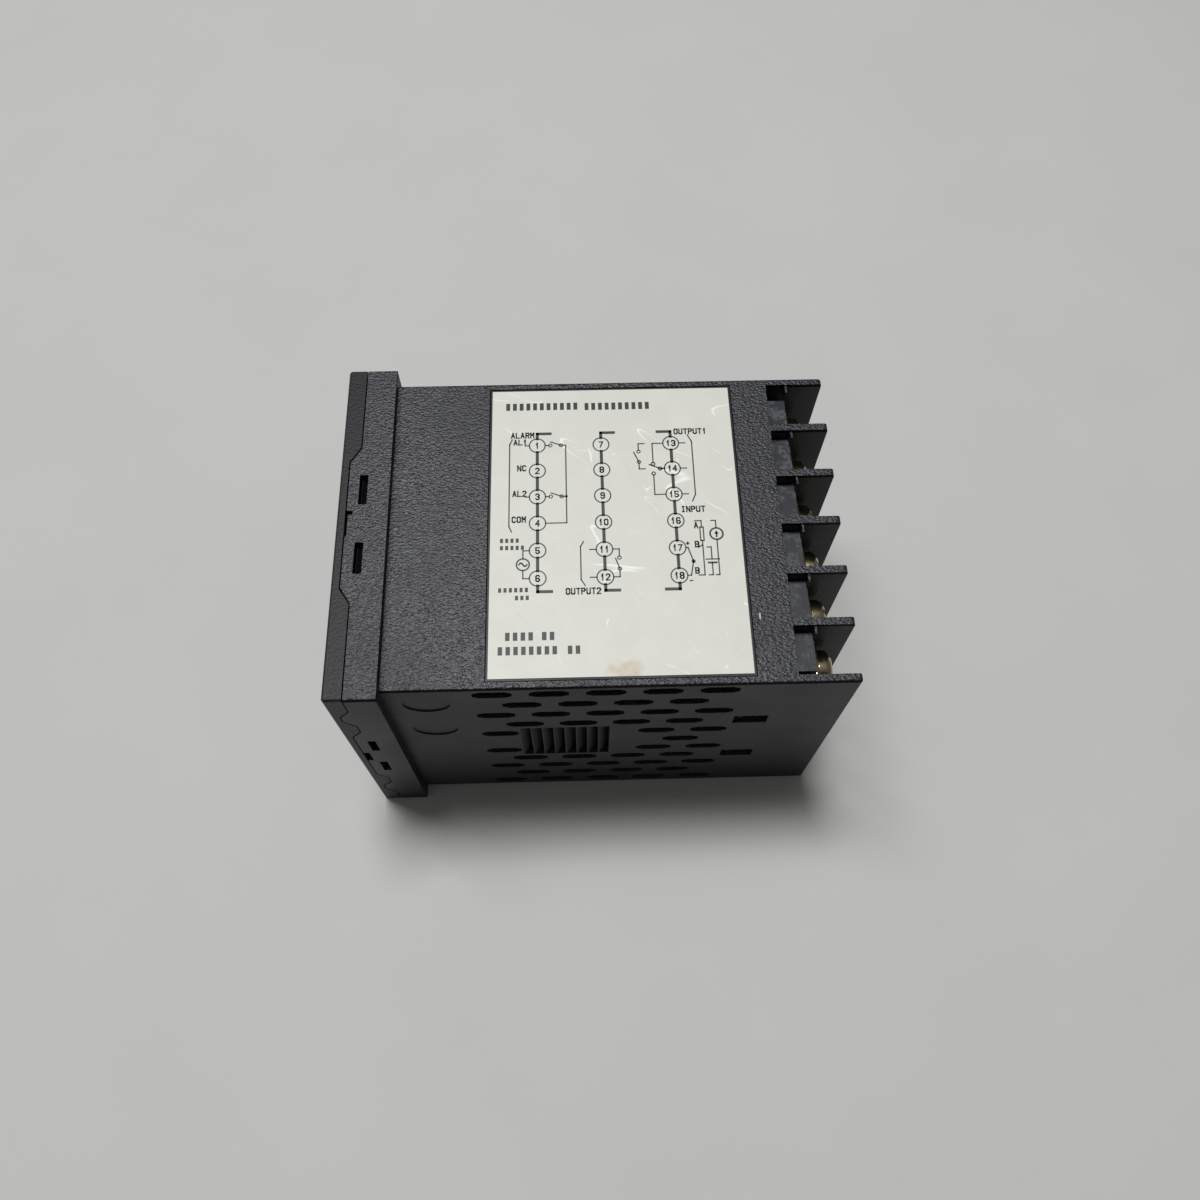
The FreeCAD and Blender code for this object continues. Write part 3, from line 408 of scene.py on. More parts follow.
def film_creases(node, where):
    """Hair-thin folds: where a stretched noise field crosses its middle value, kept in a few places."""
    folds = 0.0
    # the way a fold runs, the folds' spacing in millimetres, and the noise above which one is kept
    for degrees, spacing, kept in ((38, 7.0, 0.57), (8, 10.0, 0.56), (62, 5.0, 0.6)):
        run = node("Mapping", {"Vector": where, "Rotation": (0.0, 0.0, math.radians(degrees)),
                               "Location": (0.0, 0.0, spacing)})
        drawn = node("VectorMath", (run, (0.3, 1.0, 1.0)), operation="MULTIPLY")
        bend = node("TexNoise", {"Vector": drawn, "Scale": 1 / (spacing * MM), "Detail": 1.5,
                                 "Distortion": 0.3})
        apart = node("Math", (node("Math", (bend, 0.5), operation="SUBTRACT"),), operation="ABSOLUTE")
        line = node("MapRange", (apart, 0.0, 0.005, 1.0, 0.0))
        worn = node("TexNoise", {"Vector": drawn, "Scale": 1 / (0.4 * spacing * MM), "Detail": 1.0})
        fold = node("Math", (line, node("MapRange", (worn, kept, kept + 0.06))), operation="MULTIPLY")
        folds = node("Math", (folds, fold), operation="MAXIMUM")
    return folds


def label_film():
    """Matt polyester film: even and pale, with raised creases drawn in painted highlights and a brown glue
    stain.
    """
    looks = bpy.context.scene.label_looks
    material, node, where = new_material("polyester_film_matt")
    base, _, mottle = mottled(node, where, 3 * MM, shade(looks.film_colour, 0.95), looks.film_colour)
    middle = (LABEL_LOW + LABEL_HIGH) / 2
    stain = soft_spot(node, where, (middle.x + 0.5 * MM, LABEL_LOW.y + 0.5 * MM, LABEL_HIGH.z),
                      (5.2 * MM, 3.6 * MM), 0.9)
    drying = node("TexNoise", {"Vector": where, "Scale": 1 / (1.4 * MM), "Detail": 4.0})
    patchy = node("Math", (stain, node("MapRange", (drying, 0.25, 0.7, 0.2, 0.75))), operation="MULTIPLY")
    tinted = node("Mix", {0: patchy, 6: base, 7: looks.stain_colour}, data_type="RGBA")
    folds = film_creases(node, where)
    # the creases are painted near-white as highlights along the folds, which are also raised in relief
    share = node("Math", (folds, 0.7), operation="MULTIPLY")
    pale = node("Mix", {0: share, 6: tinted, 7: linear("#F6F5F1")}, data_type="RGBA")
    height = node("Math", (mottle, 0.25, folds), operation="MULTIPLY_ADD")
    return surfaced(material, node, {"Base Color": pale, "Roughness": 0.52, "IOR": 1.57,
                                     "Normal": node("Bump", {"Height": height, "Distance": 0.03 * MM})})


def label_ink():
    """Screen-printed ink: matt and very slightly uneven in density."""
    looks = bpy.context.scene.label_looks
    material, node, where = new_material("screen_ink_matt")
    base, _, _ = mottled(node, where, 0.5 * MM, looks.ink_colour, shade(looks.ink_colour, 1.6), 2.0)
    return surfaced(material, node, {"Base Color": base, "Roughness": 0.5, "IOR": 1.5})


def plated_metal(name, colour, roughness, mark_width):
    """Plated steel or brass: warm highlights broken up by fine tool marks and slight tarnish."""
    material, node, where = new_material(name)
    tarnish = node("TexNoise", {"Vector": where, "Scale": 1 / (1.6 * MM), "Detail": 3.0})
    aged = node("MapRange", (tarnish, 0.4, 0.75))
    marks = node("TexNoise", {"Vector": where, "Scale": 1 / mark_width, "Detail": 3.0, "Roughness": 0.6})
    return surfaced(material, node, {
        "Base Color": node("Mix", {0: aged, 6: colour, 7: shade(colour, 0.55)}, data_type="RGBA"),
        "Metallic": 1.0,
        "Roughness": node("MapRange", (tarnish, 0.3, 0.7, roughness - 0.05, roughness + 0.1)),
        "Normal": eased_relief(node, marks, 0.01 * MM, 0.05 * MM)})


def smoked_acrylic():
    """Polished smoked acrylic: dark, mirror smooth, with the displays faint behind it."""
    colour = bpy.context.scene.front_looks.window_colour
    material, node, where = new_material("smoked_acrylic_polished")
    base, haze, _ = mottled(node, where, 12 * MM, colour, shade(colour, 0.8), 2.0)
    return surfaced(material, node, {
        "Base Color": base, "Roughness": node("MapRange", (haze, 0.0, 1.0, 0.03, 0.07)), "IOR": 1.49,
        "Transmission Weight": 0.9})


def plain_moulding(name, code, roughness):
    """A small moulded, sintered or wound component with slight variation in tone."""
    material, node, where = new_material(name)
    colour = linear(code)
    base, _, patches = mottled(node, where, 0.6 * MM, shade(colour, 0.78), colour)
    return surfaced(material, node, {
        "Base Color": base, "Roughness": roughness, "IOR": 1.5,
        "Normal": eased_relief(node, patches, 0.01 * MM, 0.1 * MM)})


def board_laminate():
    """Lacquered glass-epoxy board: green with lighter copper runs under the lacquer."""
    material, node, where = new_material("epoxy_board_lacquered")
    runs = node("TexBrick", {"Vector": where, "Scale": 1 / (9 * MM), "Mortar Size": 0.06,
                             "Color1": linear("#1F5A34"), "Color2": linear("#1B4F2E"),
                             "Mortar": linear("#3C8A55")})
    return surfaced(material, node, {
        "Base Color": runs.outputs["Color"], "Roughness": 0.28, "IOR": 1.55,
        "Normal": eased_relief(node, runs.outputs["Fac"], 0.03 * MM, 0.05 * MM)})


def painted_floor():
    """A matt painted floor, pale grey and nearly even."""
    colour = bpy.context.scene.stage_looks.floor_colour
    material, node, where = new_material("floor_paint_matt")
    base, _, _ = mottled(node, where, 30 * MM, colour, shade(colour, 0.97))
    return surfaced(material, node, {"Base Color": base, "Roughness": 0.75, "IOR": 1.45})


# ---- mesh helpers

# Pen strokes of plain technical lettering. Each spot is a column, then a row, of a grid of 5 by 7 points.
GLYPH_COLUMNS = 4
GLYPH_ROWS = 6
GLYPHS = {
    "0": ("10 01 05 16 36 45 41 30 10",),
    "1": ("14 26 20",),
    "2": ("05 16 36 45 44 00 40",),
    "3": ("05 16 36 45 44 33 23", "33 42 41 30 10 01"),
    "4": ("30 36 02 42",),
    "5": ("46 06 03 33 42 41 30 10 01",),
    "6": ("45 36 16 05 01 10 30 41 42 33 03",),
    "7": ("06 46 10",),
    "8": ("13 04 05 16 36 45 44 33 13 02 01 10 30 41 42 33",),
    "9": ("01 10 30 41 45 36 16 05 04 13 43",),
    "A": ("00 26 40", "12 32"),
    "B": ("00 06 36 45 44 33 03", "33 42 41 30 00"),
    "C": ("45 36 16 05 01 10 30 41",),
    "I": ("10 30", "16 36", "20 26"),
    "L": ("06 00 40",),
    "M": ("00 06 23 46 40",),
    "N": ("00 06 40 46",),
    "O": ("10 01 05 16 36 45 41 30 10",),
    "P": ("00 06 36 45 44 33 03",),
    "R": ("00 06 36 45 44 33 03", "23 40"),
    "T": ("06 46", "20 26"),
    "U": ("06 01 10 30 41 46",),
    "+": ("21 25", "03 43"),
    "-": ("03 43",),
}


def linked_object(name, data):
    """An object of a mesh, a camera or a lamp, put in the scene."""
    made = bpy.data.objects.new(name, data)
    bpy.context.scene.collection.objects.link(made)
    return made


def loose_object(name, shape):
    """Makes an object of a bmesh and frees it."""
    mesh = bpy.data.meshes.new(name)
    shape.to_mesh(mesh)
    shape.free()
    return linked_object(name, mesh)


def mesh_piece(name, shape, material, body=ROOT, smooth=False):
    """Makes an object of a bmesh and lets it ride on a body. Smooth ones keep their sharp edges."""
    piece = loose_object(name, shape)
    piece.data.materials.append(material)
    if smooth:
        piece.data.shade_smooth()
        piece.data.set_sharp_from_angle(angle=SHARP_ANGLE)
    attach(piece, body)
    return piece


class FlatArt:
    """Flat shapes drawn with a line width on a plane, given in the plane's own millimetres."""

    def __init__(self, origin, across, up):
        self.origin = Vector(origin)
        self.across = Vector(across)
        self.up = Vector(up)
        self.shape = bmesh.new()

    def at(self, point):
        return self.origin + (self.across * point[0] + self.up * point[1]) * MM

    def polygon(self, points):
        self.shape.faces.new([self.shape.verts.new(self.at(point)) for point in points])

    def stroke(self, points, width):
        """A line through points, with each run lengthened to close its corners."""
        half = width / 2
        for start, end in zip(points, points[1:]):
            start = Vector(start)
            end = Vector(end)
            along = (end - start).normalized() * half
            side = Vector((-along.y, along.x))
            start = start - along
            end = end + along
            self.polygon([start + side, start - side, end - side, end + side])

    def ring(self, centre, radius, width, steps=40):
        inner = radius - width / 2
        outer = radius + width / 2
        for step in range(steps):
            turns = [2 * math.pi * (step + part) / steps for part in (0, 1)]
            rays = [Vector((math.cos(turn), math.sin(turn))) for turn in turns]
            middle = Vector(centre)
            self.polygon([middle + rays[0] * inner, middle + rays[0] * outer,
                          middle + rays[1] * outer, middle + rays[1] * inner])

    def disc(self, centre, radius, steps=16):
        turns = [2 * math.pi * step / steps for step in range(steps)]
        self.polygon([(centre[0] + radius * math.cos(t), centre[1] + radius * math.sin(t)) for t in turns])

    def text(self, words, centre, height, pen):
        """Lettering drawn with one pen width, centred on a point."""
        unit = (height - pen) / GLYPH_ROWS
        wide = unit * 0.8
        advance = wide * (GLYPH_COLUMNS + 0.6) + pen
        left = centre[0] - advance * (len(words) - 1) / 2 - wide * GLYPH_COLUMNS / 2
        foot = centre[1] - unit * GLYPH_ROWS / 2
        for number, letter in enumerate(words):
            for run in GLYPHS[letter]:
                points = [(left + number * advance + int(column) * wide, foot + int(row) * unit)
                          for column, row in run.split()]
                self.stroke(points, pen)

    def blocks(self, start, letters, pitch, height):
        """A word as a row of plain upright blocks, where no wording is printed."""
        for number in range(letters):
            left = start[0] + number * pitch
            right = left + pitch * 0.58
            low = start[1] - height / 2
            self.polygon([(left, low), (right, low), (right, low + height), (left, low + height)])


# ---- label print

# middles of the terminal columns and of the top row, in millimetres from the label's left and middle
COLUMNS = (6.18, 14.85, 24.35)
TOP_ROW = 12.2
ROW_COUNT = 6
# how far a column's line runs on past its end rings, and how far it then turns sideways
BAR_RISE = 0.8
BAR_REACH = 1.75
# wires end a little inside the small rings that they meet
RING_REACH = 0.19
# where a title, ratings and small print would stand: the blocks' pitch and height, then each word's start
# and number of letters
BLOCK_WORDS = (
    (0.93, 1.15, ((1.9, 18.5, 11), (12.75, 18.4, 10))),
    (0.68, 0.62, ((1.3, -2.2, 4), (1.3, -3.25, 5), (1.15, -9.25, 6), (3.3, -10.35, 3))),
    (0.97, 1.1, ((2.1, -15.6, 4), (6.7, -15.6, 2), (1.2, -17.5, 8), (9.9, -17.5, 2))),
)


class Diagram(FlatArt):
    """The label's plane, with its terminals' places and the width of its wires."""

    def __init__(self, looks):
        super().__init__((LABEL_LOW.x, 0.0, LABEL_HIGH.z + looks.ink_lift), (1, 0, 0), (0, 1, 0))
        pitch = looks.row_pitch / MM
        self.rows = [TOP_ROW - number * pitch for number in range(ROW_COUNT)]
        self.radius = looks.ring_radius / MM
        self.thin = looks.thin_line / MM

    def wire(self, points, weight=1.0):
        self.stroke(points, self.thin * weight)

    def stubs(self, column, rows, reach):
        """Short wires that lead away from the rings of some terminals."""
        edge = COLUMNS[column] + math.copysign(self.radius, reach)
        for row in rows:
            self.wire([(edge, self.rows[row]), (edge + reach, self.rows[row])])

    def open_switch(self, start, end, blade):
        """Two small rings with a blade that stands open between them."""
        for spot in (start, end):
            self.ring(spot, 0.23, self.thin * 0.85, 20)
        self.wire([end, blade])


def terminal_numbers(art, looks):
    """Three columns of ringed numbers, joined by the thick column lines."""
    rows = art.rows
    radius = art.radius
    thick = looks.thick_line / MM
    for column, across in enumerate(COLUMNS):
        turned = across + (BAR_REACH if column < 2 else -BAR_REACH)
        top = rows[0] + radius + BAR_RISE
        foot = rows[-1] - radius - BAR_RISE
        art.stroke([(across, rows[0] + radius), (across, top), (turned, top)], thick)
        art.stroke([(across, rows[-1] - radius), (across, foot), (turned, foot)], thick)
        for row, up in enumerate(rows):
            art.ring((across, up), radius, looks.ring_line / MM)
            number = str(column * ROW_COUNT + row + 1)
            art.text(number, (across, up), looks.digit_height / MM, looks.pen_width / MM)
            if row:
                art.stroke([(across, rows[row - 1] - radius), (across, up + radius)], thick)


def alarm_circuit(art):
    """Two contacts on terminals 1 and 3 that share terminal 4."""
    rows = art.rows
    right = COLUMNS[0] + art.radius
    common = COLUMNS[0] + 3.85
    for row in (0, 2):
        up = rows[row]
        first = right + 0.7
        second = right + 2.15
        art.wire([(right, up), (first - RING_REACH, up)])
        art.open_switch((first, up), (second, up), (first + 0.05, up + 0.55))
        art.wire([(second + RING_REACH, up), (common, up)])
        art.stubs(0, [row], -0.55)
    art.disc((common, rows[2]), 0.2)
    art.wire([(common, rows[0]), (common, rows[3]), (right, rows[3])])
    left = COLUMNS[0] - 3.75
    art.wire([(left + 0.35, rows[0] + 1.0), (left, rows[0] + 0.2), (left, rows[3] - 0.4),
              (left + 0.35, rows[3] - 1.2)])


def supply_circuit(art):
    """An alternating source across terminals 5 and 6."""
    rows = art.rows
    across = COLUMNS[0] - 1.9
    middle = (rows[4] + rows[5]) / 2
    source = 0.83
    art.ring((across, middle), source, art.thin * 1.2, 28)
    for row, side in ((4, 1), (5, -1)):
        art.wire([(COLUMNS[0] - art.radius, rows[row]), (across, rows[row]),
                  (across, middle + side * source)])
    art.wire([(across + (step / 6 - 0.5) * 1.05, middle + 0.24 * math.sin(2 * math.pi * step / 6))
              for step in range(7)], 1.1)


def second_output_circuit(art):
    """A contact across terminals 11 and 12, with a bracket on their left."""
    rows = art.rows
    edge = COLUMNS[1] + art.radius
    right = COLUMNS[1] + 1.9
    upper = rows[4] - 1.25
    lower = rows[5] + 1.15
    art.wire([(edge, rows[4]), (right, rows[4]), (right, upper + RING_REACH)])
    art.wire([(edge, rows[5]), (right, rows[5]), (right, lower - RING_REACH)])
    art.open_switch((right, upper), (right, lower), (right - 0.5, upper - 0.1))
    art.stubs(1, (4, 5), -0.85)
    left = COLUMNS[1] - 3.1
    art.wire([(left + 0.4, rows[4] + 1.15), (left, rows[4] + 0.45), (left, rows[5] - 0.3),
              (left + 0.5, rows[5] - 1.15)])


def first_output_circuit(art):
    """A change-over contact on terminals 13 to 15 and a plain contact beside it."""
    rows = art.rows
    column = COLUMNS[2]
    edge = column - art.radius
    left = column - 2.55
    pole = (column - 1.65, rows[1])
    upper = rows[1] + 0.75
    lower = rows[1] - 0.75
    art.wire([(edge, rows[0]), (left, rows[0]), (left, upper + RING_REACH)])
    art.wire([(edge, rows[2]), (left, rows[2]), (left, lower - RING_REACH)])
    art.wire([(edge, rows[1]), (pole[0] + RING_REACH, rows[1])], 1.5)
    for spot in ((left, upper), (left, lower), pole):
        art.ring(spot, 0.24, art.thin, 20)
    art.wire([pole, (left - 0.5, upper - 0.1)], 1.2)
    side = column - 4.45
    art.wire([(side + 0.8, rows[0]), (side, rows[0]), (side, rows[0] - 1.05)])
    art.wire([(side + 0.8, rows[1]), (side, rows[1]), (side, rows[1] + 0.95)])
    art.open_switch((side, rows[0] - 1.25), (side, rows[1] + 1.1), (side - 0.65, rows[0] - 1.35))
    art.stubs(2, (0, 1, 2), 0.85)
    right = column + 2.85
    art.wire([(right - 0.5, rows[0] + 1.25), (right, rows[0] + 0.2), (right, rows[2] - 0.1),
              (right - 0.45, rows[2] - 1.1)])


def input_circuit(art):
    """A junction sensor, a resistance sensor, a cell and a current source on terminals 16 to 18."""
    rows = art.rows
    column = COLUMNS[2]
    edge = column + art.radius
    middle = (rows[4] + rows[5]) / 2
    tip = (column + 1.95, middle)
    art.wire([(edge, rows[4]), (column + 1.35, rows[4]), tip, (column + 1.55, rows[5]), (edge, rows[5])])
    art.disc(tip, 0.28)
    bulb = column + 3.3
    top = rows[3] - 0.1
    art.wire([(bulb - 0.85, top), (bulb, top), (bulb, top - 0.95)])
    art.wire([(bulb - 0.22, top - 0.95), (bulb + 0.22, top - 0.95), (bulb + 0.22, top - 2.9),
              (bulb - 0.22, top - 2.9), (bulb - 0.22, top - 0.95)])
    art.wire([(bulb, top - 2.9), (bulb, rows[5]), (bulb - 0.75, rows[5])])
    art.wire([(bulb, rows[4] + 0.35), (bulb - 0.55, rows[4])])
    cell = column + 4.35
    art.wire([(cell - 0.5, rows[4]), (cell, rows[4]), (cell, middle + 0.25)])
    art.wire([(cell - 0.75, middle + 0.25), (cell + 0.95, middle + 0.25)])
    art.wire([(cell - 0.45, middle - 0.25), (cell + 0.55, middle - 0.25)], 1.6)
    art.wire([(cell, middle - 0.25), (cell, rows[5]), (cell - 0.5, rows[5])])
    across = column + 5.2
    up = rows[3] - 2.05
    source = 0.84
    art.ring((across, up), source, art.thin * 1.4, 28)
    art.wire([(across - 0.6, top), (across, top), (across, up + source)])
    art.wire([(across, up - source), (across, rows[5]), (across - 0.45, rows[5])])
    art.wire([(across, up - 0.4), (across, up + 0.1)], 1.4)
    art.polygon([(across - 0.3, up - 0.02), (across + 0.3, up - 0.02), (across, up + 0.5)])


def label_legends(art, height, pen):
    """Plain words beside their terminals."""
    rows = art.rows
    left, middle, right = COLUMNS
    legends = (
        ("ALARM", left - 2.0, rows[0] + 1.65), ("AL1", left - 2.3, rows[0] + 0.55),
        ("NC", left - 2.1, rows[1] + 0.45), ("AL2", left - 2.4, rows[2] + 0.5),
        ("COM", left - 2.45, rows[3] + 0.6), ("OUTPUT2", middle - 2.85, rows[5] - 1.9),
        ("OUTPUT1", right + 2.75, rows[0] + 1.85), ("INPUT", right + 2.4, rows[2] - 2.3),
        ("A", right + 2.6, rows[3] - 0.75), ("B", right + 2.55, rows[4] + 0.45),
        ("B", right + 2.35, rows[5] + 0.65), ("+", right + 1.35, rows[4] + 0.6),
        ("-", right + 1.5, rows[5] - 0.75),
    )
    for words, across, up in legends:
        art.text(words, (across, up), height * (0.7 if words in "+-" else 1.0), pen)


class OBJECT_OT_label_print(bpy.types.Operator):
    """Print the terminal diagram on the label"""

    bl_idname = "controller.label_print"
    bl_label = "Label print"

    def execute(self, context):
        looks = context.scene.label_looks
        finish_nodes(label_film(), "rating_label")
        art = Diagram(looks)
        terminal_numbers(art, looks)
        for circuit in (alarm_circuit, supply_circuit, second_output_circuit, first_output_circuit,
                        input_circuit):
            circuit(art)
        label_legends(art, looks.legend_height / MM, looks.pen_width / MM)
        for pitch, height, words in BLOCK_WORDS:
            for across, up, letters in words:
                art.blocks((across, up), letters, pitch, height)
        mesh_piece("label_print", art.shape, label_ink())
        return {"FINISHED"}


# ---- screws


DOME_STEPS = 6
WASHER_CORNER = 0.55 * MM
WASHER_EDGE = 0.07 * MM
# most degrees that a washer and a screw are turned from square
WASHER_TURN = 1.5
SCREW_TURN = 40


def lathe(profile, steps=48):
    """A solid turned about Z from pairs of radius and height. A radius of 0 closes an end."""
    shape = bmesh.new()
    rings = []
    for radius, height in profile:
        if radius == 0:
            rings.append([shape.verts.new((0, 0, height))])
            continue
        turns = [2 * math.pi * step / steps for step in range(steps)]
        rings.append([shape.verts.new((radius * math.cos(t), radius * math.sin(t), height)) for t in turns])
    for low, high in zip(rings, rings[1:]):
        for step in range(steps):
            following = (step + 1) % steps
            patch = [low[step % len(low)], low[following % len(low)],
                     high[following % len(high)], high[step % len(high)]]
            unique = list(dict.fromkeys(patch))
            if len(unique) > 2:
                shape.faces.new(unique)
    bmesh.ops.recalc_face_normals(shape, faces=shape.faces)
    return shape


def box_shape(low, high, taper=1.0):
    """A box whose lower end is narrowed by a factor."""
    shape = bmesh.new()
    bmesh.ops.create_cube(shape, size=1.0)
    for vertex in shape.verts:
        share = [vertex.co[axis] + 0.5 for axis in range(3)]
        factor = taper if share[2] < 0.5 else 1.0
        for axis in range(3):
            vertex.co[axis] = low[axis] + share[axis] * (high[axis] - low[axis])
        vertex.co.x *= factor
        vertex.co.y *= factor
    return shape


def cut_away(target, cutter):
    """Takes one loose object's form out of another and removes the cutter."""
    modifier = target.modifiers.new("cut", "BOOLEAN")
    modifier.operation = "DIFFERENCE"
    modifier.solver = "EXACT"
    modifier.object = cutter
    bpy.context.view_layer.update()
    mesh = bpy.data.meshes.new_from_object(target.evaluated_get(bpy.context.evaluated_depsgraph_get()))
    target.modifiers.clear()
    target.data = mesh
    bpy.data.objects.remove(cutter)


def pan_head(form):
    """A domed pan head with a cross recess and one slot across it."""
    radius = form.head_radius
    height = form.head_height
    # a short upright rim, then a quarter oval that flattens towards the crown
    dome = [(0, 0), (radius * 0.97, 0), (radius, height * 0.04)]
    for step in range(DOME_STEPS + 1):
        turn = math.radians(90 * step / DOME_STEPS)
        dome.append((radius * (0.64 + 0.36 * math.cos(turn)), height * (0.5 + 0.44 * math.sin(turn))))
    dome.append((radius * 0.3, height * 0.99))
    dome.append((0, height))
    head = loose_object("pan_head", lathe(dome))
    half = form.slot_width / 2
    arm = radius * 0.62
    past = radius * 1.1
    cross_floor = height - form.slot_depth
    slot_floor = height - form.slot_depth * 0.6
    above = height + 0.2 * MM
    # two arms of the cross, narrower at the bottom, and a straight slot through the rim
    cutters = (
        ((-half, -arm, cross_floor), (half, arm, above), 0.7),
        ((-arm, -half, cross_floor), (arm, half, above), 0.7),
        ((-past, -half * 0.85, slot_floor), (past, half * 0.85, above), 1.0),
    )
    for low, high, taper in cutters:
        cut_away(head, loose_object("recess_cutter", box_shape(low, high, taper)))
    shape = bmesh.new()
    shape.from_mesh(head.data)
    bpy.data.objects.remove(head)
    return shape


def square_washer(form):
    """A square washer with rounded corners and edges."""
    half = form.washer_side / 2
    shape = box_shape((-half, -half, 0), (half, half, form.washer_thick))
    upright = [edge for edge in shape.edges
               if abs(edge.verts[0].co.z - edge.verts[1].co.z) > form.washer_thick / 2]
    bmesh.ops.bevel(shape, geom=upright, offset=WASHER_CORNER, segments=5, profile=0.5, affect="EDGES")
    rim = [edge for edge in shape.edges if edge.calc_face_angle(0) > math.radians(60)]
    bmesh.ops.bevel(shape, geom=rim, offset=WASHER_EDGE, segments=2, profile=0.5, affect="EDGES")
    # bevelling leaves the faces in an order that changes from run to run
    for place, face in enumerate(sorted(shape.faces, key=lambda face: tuple(face.calc_center_median()))):
        face.index = place
    shape.faces.sort()
    return shape


def threaded_shank(form, length):
    """A shank with turned ridges at the thread's pitch."""
    crest = form.shank_radius
    root = crest - 0.3 * form.thread_pitch
    profile = [(0, 0), (crest, 0)]
    ridges = int(length / form.thread_pitch) - 1
    for number in range(ridges):
        up = -(number + 0.5) * form.thread_pitch
        profile.append((root, up))
        profile.append((crest, up - form.thread_pitch / 2))
    profile.append((root, -length + 0.1 * MM))
    profile.append((root * 0.8, -length))
    profile.append((0, -length))
    return lathe(profile, 24)


def join_shapes(target, source, matrix):
    """Adds a moved copy of one bmesh to another."""
    mesh = bpy.data.meshes.new("joined")
    source.to_mesh(mesh)
    mesh.transform(matrix)
    target.from_mesh(mesh)
    bpy.data.meshes.remove(mesh)


class OBJECT_OT_terminal_screws(bpy.types.Operator):
    """Make the terminal screws with cross recesses and square washers"""

    bl_idname = "controller.terminal_screws"
    bl_label = "Terminal screws"

    def execute(self, context):
        form = context.scene.screw_form
        turn = random.Random(form.seed)
        # forming marks are finer than 0.1 mm and are drawn coarser, so that they show
        metal = plated_metal("zinc_steel_passivated", form.screw_colour, 0.17, 0.2 * MM)
        length = CONTACT_FACE - SCREWS_LOW.x
        head = pan_head(form)
        washer = square_washer(form)
        shank = threaded_shank(form, length)
        along_x = Matrix.Rotation(math.pi / 2, 4, "Y")
        whole = bmesh.new()
        first_low, first_high = corners_of(CONTACTS[0])
        washer_half = SCREWS_HIGH.y - (first_low.y + first_high.y) / 2
        rise = first_high.z - (SCREWS_HIGH.z - washer_half)
        for contact in CONTACTS:
            low, high = corners_of(contact)
            centre = Vector((CONTACT_FACE, (low.y + high.y) / 2, high.z - rise))
            stand = Matrix.Translation(centre) @ along_x
            slack, twist = (Matrix.Rotation(math.radians(turn.uniform(-most, most)), 4, "Z")
                            for most in (WASHER_TURN, SCREW_TURN))
            join_shapes(whole, washer, stand @ slack)
            join_shapes(whole, head, stand @ Matrix.Translation((0, 0, form.washer_thick)) @ twist)
            join_shapes(whole, shank, stand @ twist)
        for shape in (head, washer, shank):
            shape.free()
        piece = mesh_piece("terminal_screw_set", whole, metal, smooth=True)
        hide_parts("terminal_screws")
        return {"FINISHED"}


# ---- finishes of frame nodes


class OBJECT_OT_case_finish(bpy.types.Operator):
    """Finish the moulded case and the terminal insert"""

    bl_idname = "controller.case_finish"
    bl_label = "Case and insert"

    def execute(self, context):
        finish_nodes(moulded_case_plastic(), "case")
        finish_nodes(insert_plastic(), "terminal_block")
        return {"FINISHED"}


class OBJECT_OT_contacts(bpy.types.Operator):
    """Finish the eighteen contact strips"""

    bl_idname = "controller.contacts"
    bl_label = "Contacts"

    def execute(self, context):
        # stamping marks are drawn coarser than they are, so that they show
        colour = context.scene.screw_form.contact_colour
        finish_nodes(plated_metal("brass_nickel_plated", colour, 0.34, 0.3 * MM), *CONTACTS)
        return {"FINISHED"}


DIGITS = 4
# where each segment of a digit starts and ends, in its half width and half height
SEGMENTS = (
    ((-1, 1), (1, 1)), ((-1, 0), (1, 0)), ((-1, -1), (1, -1)),
    ((-1, 0), (-1, 1)), ((1, 0), (1, 1)), ((-1, -1), (-1, 0)), ((1, -1), (1, 0)),
)


def front_art(node):
    """A plane for marks on a node's front, upright as the unit is mounted."""
    low, high = corners_of(node)
    middle = (low + high) / 2
    return FlatArt((low.x - MARK_LIFT, middle.y, middle.z), (0, 0, 1), (0, 1, 0))


def seven_segments(node, height, material):
    """A row of unlit seven-segment digits on the front of a display."""
    low, high = corners_of(node)
    art = front_art(node)
    tall = height / MM / 2
    wide = tall * 0.55
    slant = tall * 0.14
    line = tall * 0.2
    pitch = (high.z - low.z) / MM / DIGITS
    for number in range(DIGITS):
        centre = (number - (DIGITS - 1) / 2) * pitch
        for ends in SEGMENTS:
            first, last = (Vector((centre + across * wide + up * slant, up * tall)) for across, up in ends)
            along = (last - first).normalized()
            art.stroke([first + along * line * 1.1, last - along * line * 1.1], line)
        art.disc((centre + wide * 1.5, -tall), line * 0.6)
    mesh_piece(node + "_segments", art.shape, material)


class OBJECT_OT_front(bpy.types.Operator):
    """Finish the front frame, window, displays and indicators"""

    bl_idname = "controller.front"
    bl_label = "Front"

    def execute(self, context):
        looks = context.scene.front_looks
        finish_nodes(front_frame_plastic(), "front_bezel")
        finish_nodes(smoked_acrylic(), "display_window")
        face = satin_plastic("display_face_moulded", looks.face_colour, 0.4)
        segment = satin_plastic("segment_diffuser", looks.segment_colour, 0.35)
        for node, height in (("process_display", looks.process_height),
                             ("setpoint_display", looks.setpoint_height)):
            finish_nodes(face, node)
            seven_segments(node, height, segment)
        finish_nodes(plain_moulding("light_guide_clear", "#B8B8B0", 0.2), *numbered("indicator_lamp", 4))
        return {"FINISHED"}


# corners of the mark on each key, in halves of its width; the set key has a ring
KEY_MARKS = {
    "key_set": None,
    "key_shift": ((0.8, -1), (0.8, 1), (-0.8, 0)),
    "key_down": ((-1, 0.8), (0, -0.8), (1, 0.8)),
    "key_up": ((-1, -0.8), (1, -0.8), (0, 0.8)),
}


